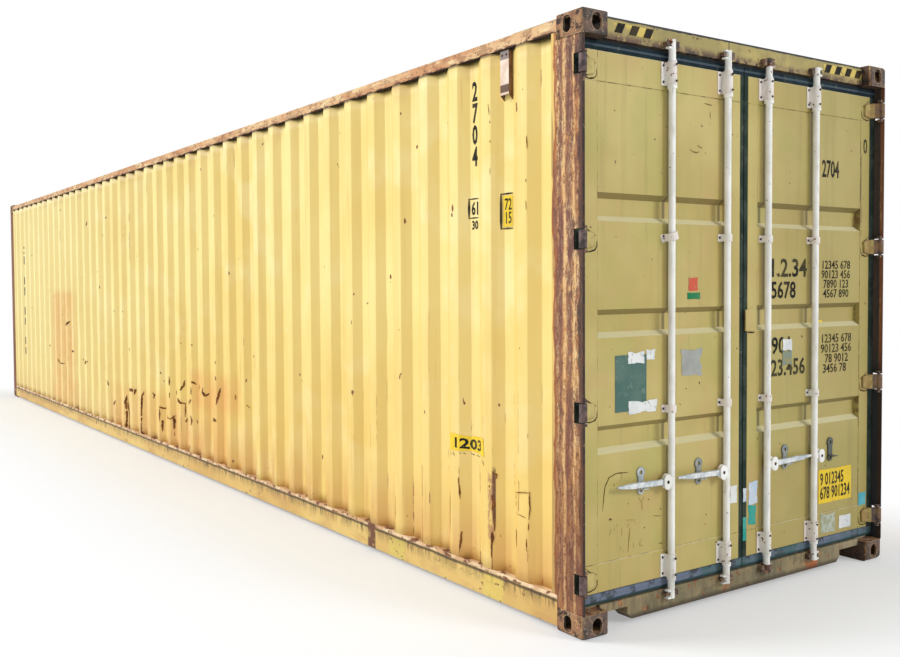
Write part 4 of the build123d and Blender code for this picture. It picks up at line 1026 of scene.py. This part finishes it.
# Stickers, scraps of paper and tape on the doors, in millimetres: name, box (from and to along the
# surface, from and to in height), depth of the torn edge, lift, finish, surface
LABELS = (
    ("notice_board", (-950, -734, 1030, 1304), 2, 1.2, "sign_teal", on_door),
    ("scrap_upper", (-872, -745, 1256, 1322), 16, 2.4, "paper_white", on_door),
    ("scrap_side", (-742, -668, 1268, 1328), 14, 1.2, "paper_white", on_door),
    ("scrap_lower", (-866, -655, 1014, 1082), 18, 2.4, "paper_white", on_door),
    ("smear_grey", (-498, -316, 1168, 1322), 36, 1.2, "paper_grey", on_door),
    ("tape_red", (-436, -358, 1603, 1678), 10, 1.2, "tape_red", on_door),
    ("tape_green", (-441, -343, 1564, 1598), 4, 1.2, "tape_green", on_door),
    ("scrap_stile", (-106, -46, 483, 585), 10, 1.2, "paper_white", on_stile),
    ("scrap_foot", (42, 128, 452, 590), 18, 1.2, "paper_blue", on_stile),
    ("smear_teal_foot", (42, 112, 345, 462), 14, 1.2, "tape_teal", on_stile),
    ("smear_teal", (3, 34, 270, 400), 4, 1.2, "tape_teal", on_gasket),
    ("scrap_gasket", (4, 34, 478, 556), 6, 1.2, "paper_blue", on_gasket),
    ("scrap_between", (334, 424, 1268, 1338), 12, 2.4, "paper_white", on_door),
    ("smear_between", (328, 424, 1188, 1275), 12, 2.0, "smear_blue", on_door),
    ("spot_teal", (1064, 1146, 318, 402), 10, 1.2, "spot_blue", on_stile),
    ("spot_yellow", (628, 700, 1418, 1430), 4, 1.2, "label_yellow", on_door),
    ("label_yellow_door", (672, 997, 379, 576), 6, 1.2, "label_yellow", on_door),
    ("label_white_low", (872, 991, 212, 289), 4, 1.2, "paper_white", on_stile),
    ("label_grey_low", (680, 850, 200, 330), 30, 1.2, "paper_pale", on_stile),
)
for name, box, tear, lift, finish, surface in LABELS:
    body = "door_left" if box[0] < 0 else "door_right"
    sticker(name, ragged(box, tear, name), surface, body, finish, lift / 1000)

SIDE_LABELS = (
    ("label_yellow_side", (5052, 5372, 748, 845), 16, "label_yellow"),
    ("label_yellow_box", (5492, 5564, 1936, 2094), 2, "label_yellow"),
)
for name, box, tear, finish in SIDE_LABELS:
    sticker(name, ragged(box, tear, name), on_wall, "container", finish)

# Frames of the two box marks on the long wall, and ink on a torn label. Each stroke is written as its
# width and then its places, all in millimetres.
BOX_LINES = strokes(
    (12, 5482, 2106, 5482, 1924), (10, 5480, 2103, 5566, 2103), (10, 5480, 1928, 5566, 1928),
    (12, 5212, 2102, 5212, 1994), (9, 5210, 2098, 5288, 2098), (9, 5210, 1998, 5288, 1998),
)
ribbons("box_lines", BOX_LINES, on_wall, "container", "ink_black", 0.05, lift=0.002)

TORN_INK = strokes(
    (10, 5068, 742, 5083, 722), (10, 5098, 738, 5112, 722), (8, 5152, 743, 5164, 738),
    (8, 5176, 743, 5190, 739), (8, 5216, 743, 5244, 740), (8, 5264, 741, 5288, 737),
    (9, 5341, 735, 5350, 712), (9, 5360, 728, 5364, 704),
)
ribbons("torn_ink", TORN_INK, on_wall, "container", "ink_black", 0.4, lift=0.0015)

# Plain numerals where the container carries markings: name, text, box and lift in millimetres,
# boldness, surface
WALL_FIGURES = (
    ("figures_side_tall", "2\n7\n0\n4", (5236, 5284, 2268, 2711), 1.2, 0.03),
    ("figures_side_box", "61", (5228, 5284, 2012, 2084), 1.2, 0.03),
    ("figures_side_small", "30", (5232, 5284, 1936, 1984), 1.2, 0.03),
    ("figures_side_label", "72\n15", (5502, 5556, 1952, 2080), 2.4, 0.015),
    ("figures_side_low", "1203", (5118, 5318, 766, 824), 2.4, 0.03),
)
for name, text, box, lift, bold in WALL_FIGURES:
    figures(name, text, box, on_wall, "container", lift / 1000, bold)
LIST = "12345 678\n90123 456\n"
DOOR_FIGURES = (
    ("figures_door_top", "2704", (690, 852, 2236, 2336), 1.2, 0.02, on_door),
    ("figures_door_upper", "1.2.34", (240, 552, 1674, 1776), 1.2, 0.02, on_door),
    ("figures_door_second", "5678", (236, 452, 1556, 1652), 1.2, 0.02, on_door),
    ("figures_door_third", "901", (240, 402, 1254, 1350), 1.2, 0.02, on_door),
    ("figures_door_fourth", "23.456", (236, 540, 1134, 1228), 1.2, 0.02, on_door),
    ("figures_door_list", LIST + " 7890 123\n 4567 890", (690, 968, 1556, 1768), 1.2, 0.012, on_door),
    ("figures_door_list_low", LIST + "  78 9012\n 3456 78", (690, 985, 1128, 1350), 1.2, 0.012, on_door),
    ("figures_door_edge", "0", (1090, 1128, 2394, 2482), 1.2, 0.012, on_stile),
    ("figures_door_label", "9 012345\n678 901234", (690, 980, 402, 556), 2.4, 0.02, on_door),
)
for name, text, box, lift, bold, surface in DOOR_FIGURES:
    figures(name, text, box, surface, "door_right", lift / 1000, bold)

# Rust on the long wall and scratches on the doors
WALL_RUST = strokes(
    (27, -3953, 879, -3763, 885), (25, -2824, 861, -2623, 871), (179, -2861, 1226, -3106, 1129),
    (15, -3447, 731, -3420, 680, -3145, 687), (16, -3103, 688, -3092, 553),
    (18, -2542, 784, -2538, 659), (169, -2053, 783, -2253, 732), (21, -1420, 837, -1417, 688),
    (37, -1248, 624, -1232, 569), (156, -963, 426, -1123, 341),
    (51, -641, 511, -661, 455, -643, 307, -661, 143), (14, -633, 458, -605, 288, -601, 159),
    (44, -564, 585, -363, 589, -381, 546), (20, -87, 603, -114, 550, -132, 199, -65, 160),
    (45, 180, 617, 201, 594, 192, 563), (28, 437, 836, 456, 808), (18, 483, 761, 480, 746),
    (26, 468, 711, 451, 692), (18, 408, 506, 464, 492, 516, 500), (40, 421, 488, 410, 364),
    (24, 460, 409, 454, 272), (27, 700, 817, 696, 731), (29, 699, 664, 697, 616),
    (20, 791, 690, 786, 647), (9, 531, 433, 709, 418, 779, 462), (34, 738, 454, 751, 403, 744, 327),
    (13, 749, 299, 751, 265), (24, 1029, 804, 1023, 758, 972, 707),
    (25, 848, 647, 955, 604, 1036, 593), (10, 1036, 602, 1028, 472), (19, 1060, 465, 1033, 426),
    (33, 1251, 813, 1309, 791), (26, 1244, 759, 1242, 695), (121, 1240, 650, 1132, 591),
    (126, 1227, 508, 1250, 470, 1236, 423), (12, 1309, 477, 1319, 446), (12, 1350, 793, 1349, 748),
    (26, 1522, 782, 1509, 737, 1566, 716, 1592, 736), (28, 1800, 1028, 1803, 1002),
    (28, 1795, 900, 1811, 867), (21, 1856, 803, 1808, 662), (15, 2117, 784, 2144, 778, 2143, 737),
    (12, 2391, 721, 2423, 696), (109, 1696, 544, 1804, 525), (12, 5146, 607, 5153, 558, 5158, 492),
    (15, 5166, 318, 5162, 294, 5158, 226), (8, 5045, 512, 5048, 444, 5047, 296),
    (18, 5433, 684, 5456, 671, 5453, 649), (17, 5409, 611, 5411, 598),
    (22, 5429, 563, 5442, 514, 5432, 486), (8, 5445, 489, 5444, 377),
    (22, 5431, 372, 5431, 327, 5424, 282), (8, 5424, 282, 5427, 235),
    (5, 5592, 604, 5678, 621, 5724, 626), (6, 5716, 632, 5720, 542, 5714, 492),
    (7, 5601, 603, 5601, 531), (11, 5601, 422, 5606, 327), (10, 5698, 394, 5701, 333),
    (7, 5714, 476, 5711, 438), (4, 5608, 507, 5696, 497), (9, 5473, 362, 5474, 352),
    (7, 5235, 242, 5236, 233), (9, 5531, 216, 5532, 207), (4, 5428, 2241, 5425, 2205),
    (7, 5415, 2566, 5423, 2507), (9, 5433, 2378, 5424, 2369), (6, 5605, 2413, 5595, 2390),
    (10, 5702, 2157, 5703, 2143), (6, 5708, 2365, 5712, 2303), (7, 5702, 2052, 5705, 2008),
    (17, 5045, 2533, 5047, 2518), (9, 5681, 2595, 5683, 2588),
)
DOOR_MARKS = strokes(
    (5, -860, 737, -938, 742, -988, 727, -1015, 687, -1024, 637, -1032, 571),
    (5, -902, 735, -906, 710), (8, -861, 590, -860, 582), (5, -680, 503, -656, 498, -629, 495),
    (7, -644, 362, -631, 358, -617, 358), (6, -504, 316, -467, 315, -427, 319),
    (7, -314, 2553, -289, 2551, -257, 2548), (6, -269, 2513, -269, 2480), (8, -273, 2458, -271, 2451),
    (7, -424, 2316, -400, 2304, -366, 2301, -354, 2310), (7, -366, 2338, -349, 2330, -330, 2327),
    (9, -635, 2184, -628, 2184), (9, -1005, 284, -1003, 259), (9, -943, 256, -943, 242),
)
DOOR_FAINT = strokes(
    (5, -974, 480, -985, 451), (4, -949, 488, -955, 465), (4, -938, 498, -933, 486),
    (5, -905, 477, -902, 437), (3, -877, 508, -814, 501, -814, 477), (5, -854, 490, -868, 468),
    (6, -848, 465, -862, 350), (5, -907, 382, -921, 368), (5, -893, 367, -896, 356),
    (5, -825, 389, -822, 364), (5, -765, 400, -779, 386, -779, 368, -756, 370),
    (7, -1005, 254, -1002, 190), (5, -943, 239, -943, 199), (6, -788, 607, -768, 580, -751, 606),
    (8, -767, 580, -763, 543),
)
ribbons(
    "wall_rust_strokes", WALL_RUST, on_wall, "container", "stroke_rust",
    rough=0.5, widest=0.028, gaps=0.06, lift=0.002,
)
ribbons("door_marks", DOOR_MARKS, on_door, "door_left", "stroke_dark", 0.3)
ribbons("door_scribbles", DOOR_FAINT, on_door, "door_left", "stroke_faint", 0.3)
RAIL_SCRIBBLE = strokes(
    (5, 4916, 118, 4960, 106, 4985, 120), (5, 5010, 104, 5040, 122, 5062, 106),
    (4, 5080, 121, 5095, 103, 5130, 112), (5, 5150, 104, 5175, 122, 5205, 104),
    (4, 5225, 120, 5250, 105, 5279, 119),
)
ribbons("rail_scribble", RAIL_SCRIBBLE, on_rail, "container", "stroke_faint", 0.5, 0.004)
HINGE_CURVES = strokes(
    (7, 1148, 62, 1120, 40, 1092, 24, 1074, 20),
    (8, 1150, -52, 1118, -55, 1084, -48, 1070, -30, 1071, -6),
)
for side, sign in (("left", -1), ("right", 1)):
    outlines = [
        (width, *((sign * u, hinge_z + v) for u, v in places))
        for hinge_z in HINGES_Z for width, *places in HINGE_CURVES
    ]
    ribbons(f"hinge_outlines_{side}", outlines, on_stile, f"door_{side}", "stroke_black", 0.5)
# Painted shadow of the cover plate: black strokes along its foot and side on the stile, and along its left
# edge on the gasket
PLATE_SHADE = strokes(
    (12, 36, 1382, 90, 1379), (6, 88, 1384, 88, 1500),
)
ribbons("plate_shade", PLATE_SHADE, on_stile, "door_right", "black_stripe_and_shadow", 0.2)
PLATE_EDGE_SHADOW = strokes((9, -6, 1380, -6, 1506))
ribbons("plate_edge", PLATE_EDGE_SHADOW, on_gasket, "door_left", "black_stripe_and_shadow", 0.2)


# Brackets: half height of a bearing, and guides from the foot and the head of a leaf
BEARING_HALF, LOW_GUIDE, HIGH_GUIDE = 0.057, 0.840, 0.850
STUD_SIDES = 8


def studs(name, places, radius, height, body, towards="x"):
    """Bolt heads: low domes that stand on surfaces facing the doors or the near side."""
    points, faces = [], []
    for x, y, z in places:
        first = len(points)
        for size, rise in ((1.0, 0.0), (0.95, 0.6), (0.55, 1.0)):
            for step in range(STUD_SIDES):
                turn = 2 * math.pi * step / STUD_SIDES
                across = radius * size * math.cos(turn)
                up = radius * size * math.sin(turn)
                if towards == "x":
                    points.append((x + rise * height, y + across, z + up))
                else:
                    points.append((x + across, y - rise * height, z + up))
        for ring in range(2):
            for step in range(STUD_SIDES):
                a = first + ring * STUD_SIDES + step
                b = first + ring * STUD_SIDES + (step + 1) % STUD_SIDES
                faces.append((a, b, b + STUD_SIDES, a + STUD_SIDES))
        faces.append([first + 2 * STUD_SIDES + step for step in range(STUD_SIDES)])
        faces.append([first + step for step in reversed(range(STUD_SIDES))])
    add_piece(name, mesh_from(name, points, faces), body, "bolts")


def bracket_bolts():
    """Bolts on the feet and crown of each bearing, and two on each guide."""
    for side, sign in (("left", -1), ("right", 1)):
        low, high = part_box(f"door_{side}_brackets")
        bolts = []
        for bar_y in BARS_Y[2:]:
            for centre in (low.z + BEARING_HALF, high.z - BEARING_HALF):
                for up in (-0.040, 0.040):
                    for across in (-0.037, 0.037):
                        bolts.append((LEAF_X + 0.005, sign * bar_y + across, centre + up))
                    bolts.append((high.x - 0.001, sign * bar_y - 0.002, centre + up))
            for centre in (LEAF_BOX[0].z + LOW_GUIDE, LEAF_BOX[1].z - HIGH_GUIDE):
                for across in (-0.032, 0.032):
                    bolts.append((PANEL_X + 0.005, sign * bar_y + across, centre))
        studs(f"bolts_{side}", bolts, 0.0065, 0.005, f"door_{side}")


bracket_bolts()
for bar_y in BARS_Y:
    side = "left" if bar_y < 0 else "right"
    spot = "outer" if abs(bar_y) > 0.3 else "inner"
    pivot = [(6.0822, bar_y + math.copysign(0.045, bar_y), 0.671)]
    studs(f"pivot_{side}_{spot}", pivot, 0.009, 0.002, f"bar_{side}_{spot}")
VENT_FACE = VENT_LOW.y + 0.0005
VENT_BOLTS = [
    (5.516, VENT_FACE, VENT_HIGH.z - 0.022),
    (5.548, VENT_FACE, VENT_HIGH.z - 0.022),
    (5.533, VENT_FACE, VENT_LOW.z + 0.020),
]
studs("bolts_vent", VENT_BOLTS, 0.006, 0.004, "container", towards="y")


# Floor, backdrop and light; the floor is shaded within half a length and half a width
SHADE_LONG, SHADE_WIDE = 6.1, 1.22
WHITE = (1, 1, 1, 1)


def make_floor():
    """A pale floor that fades to white away from the container."""
    bpy.ops.mesh.primitive_plane_add(size=160, location=(0, 0, 0))
    floor = bpy.context.object
    floor.name = "studio_floor"
    f = Finish("studio_floor_finish", 0.9)
    f.put(f.shader.inputs["Base Color"], "F4F4F4")
    seen = f.seen()
    out_x = f.most(f.math("SUBTRACT", f.abs(f.x), SHADE_LONG), 0.0)
    out_y = f.most(f.math("SUBTRACT", f.abs(f.y), SHADE_WIDE), 0.0)
    away = f.math("SQRT", f.math("ADD", f.math("POWER", out_x, 2.0), f.math("POWER", out_y, 2.0)))
    fade = f.times(f.band(away, 0.1, 1.6, 0.35, 1.0), seen)
    glow = f.node("Emission", {"Color": WHITE})[0]
    blend = f.node("MixShader", {0: fade, 1: f.shader.outputs[0], 2: glow})[0]
    f.put(f.nodes["Material Output"].inputs["Surface"], blend)
    floor.data.materials.append(f.material)


def make_world():
    """Even pale light, with a white background for what the camera sees."""
    world = bpy.data.worlds.new("studio")
    bpy.context.scene.world = world
    world.use_nodes = True
    world.node_tree.nodes.clear()
    tree = Tree(world.node_tree)
    light = tree.node("Background", {"Color": (0.95, 0.98, 1.0, 1), "Strength": 0.45})[0]
    white = tree.node("Background", {"Color": WHITE})[0]
    blend = tree.node("MixShader", {0: tree.seen(), 1: light, 2: white})[0]
    tree.node("OutputWorld", {0: blend})


def make_sun(name, towards, strength, softness):
    light = bpy.data.lights.new(name, "SUN")
    light.energy = strength
    light.angle = math.radians(softness)
    lamp = bpy.data.objects.new(name, light)
    lamp.rotation_euler = Vector(towards).to_track_quat("Z", "Y").to_euler()
    bpy.context.scene.collection.objects.link(lamp)


make_floor()
make_world()
make_sun("key_light", (-0.55, -0.68, 0.55), 2.2, 25)
make_sun("door_light", (0.75, 0.42, 0.50), 1.3, 22)
bpy.context.scene.view_settings.view_transform = "Standard"
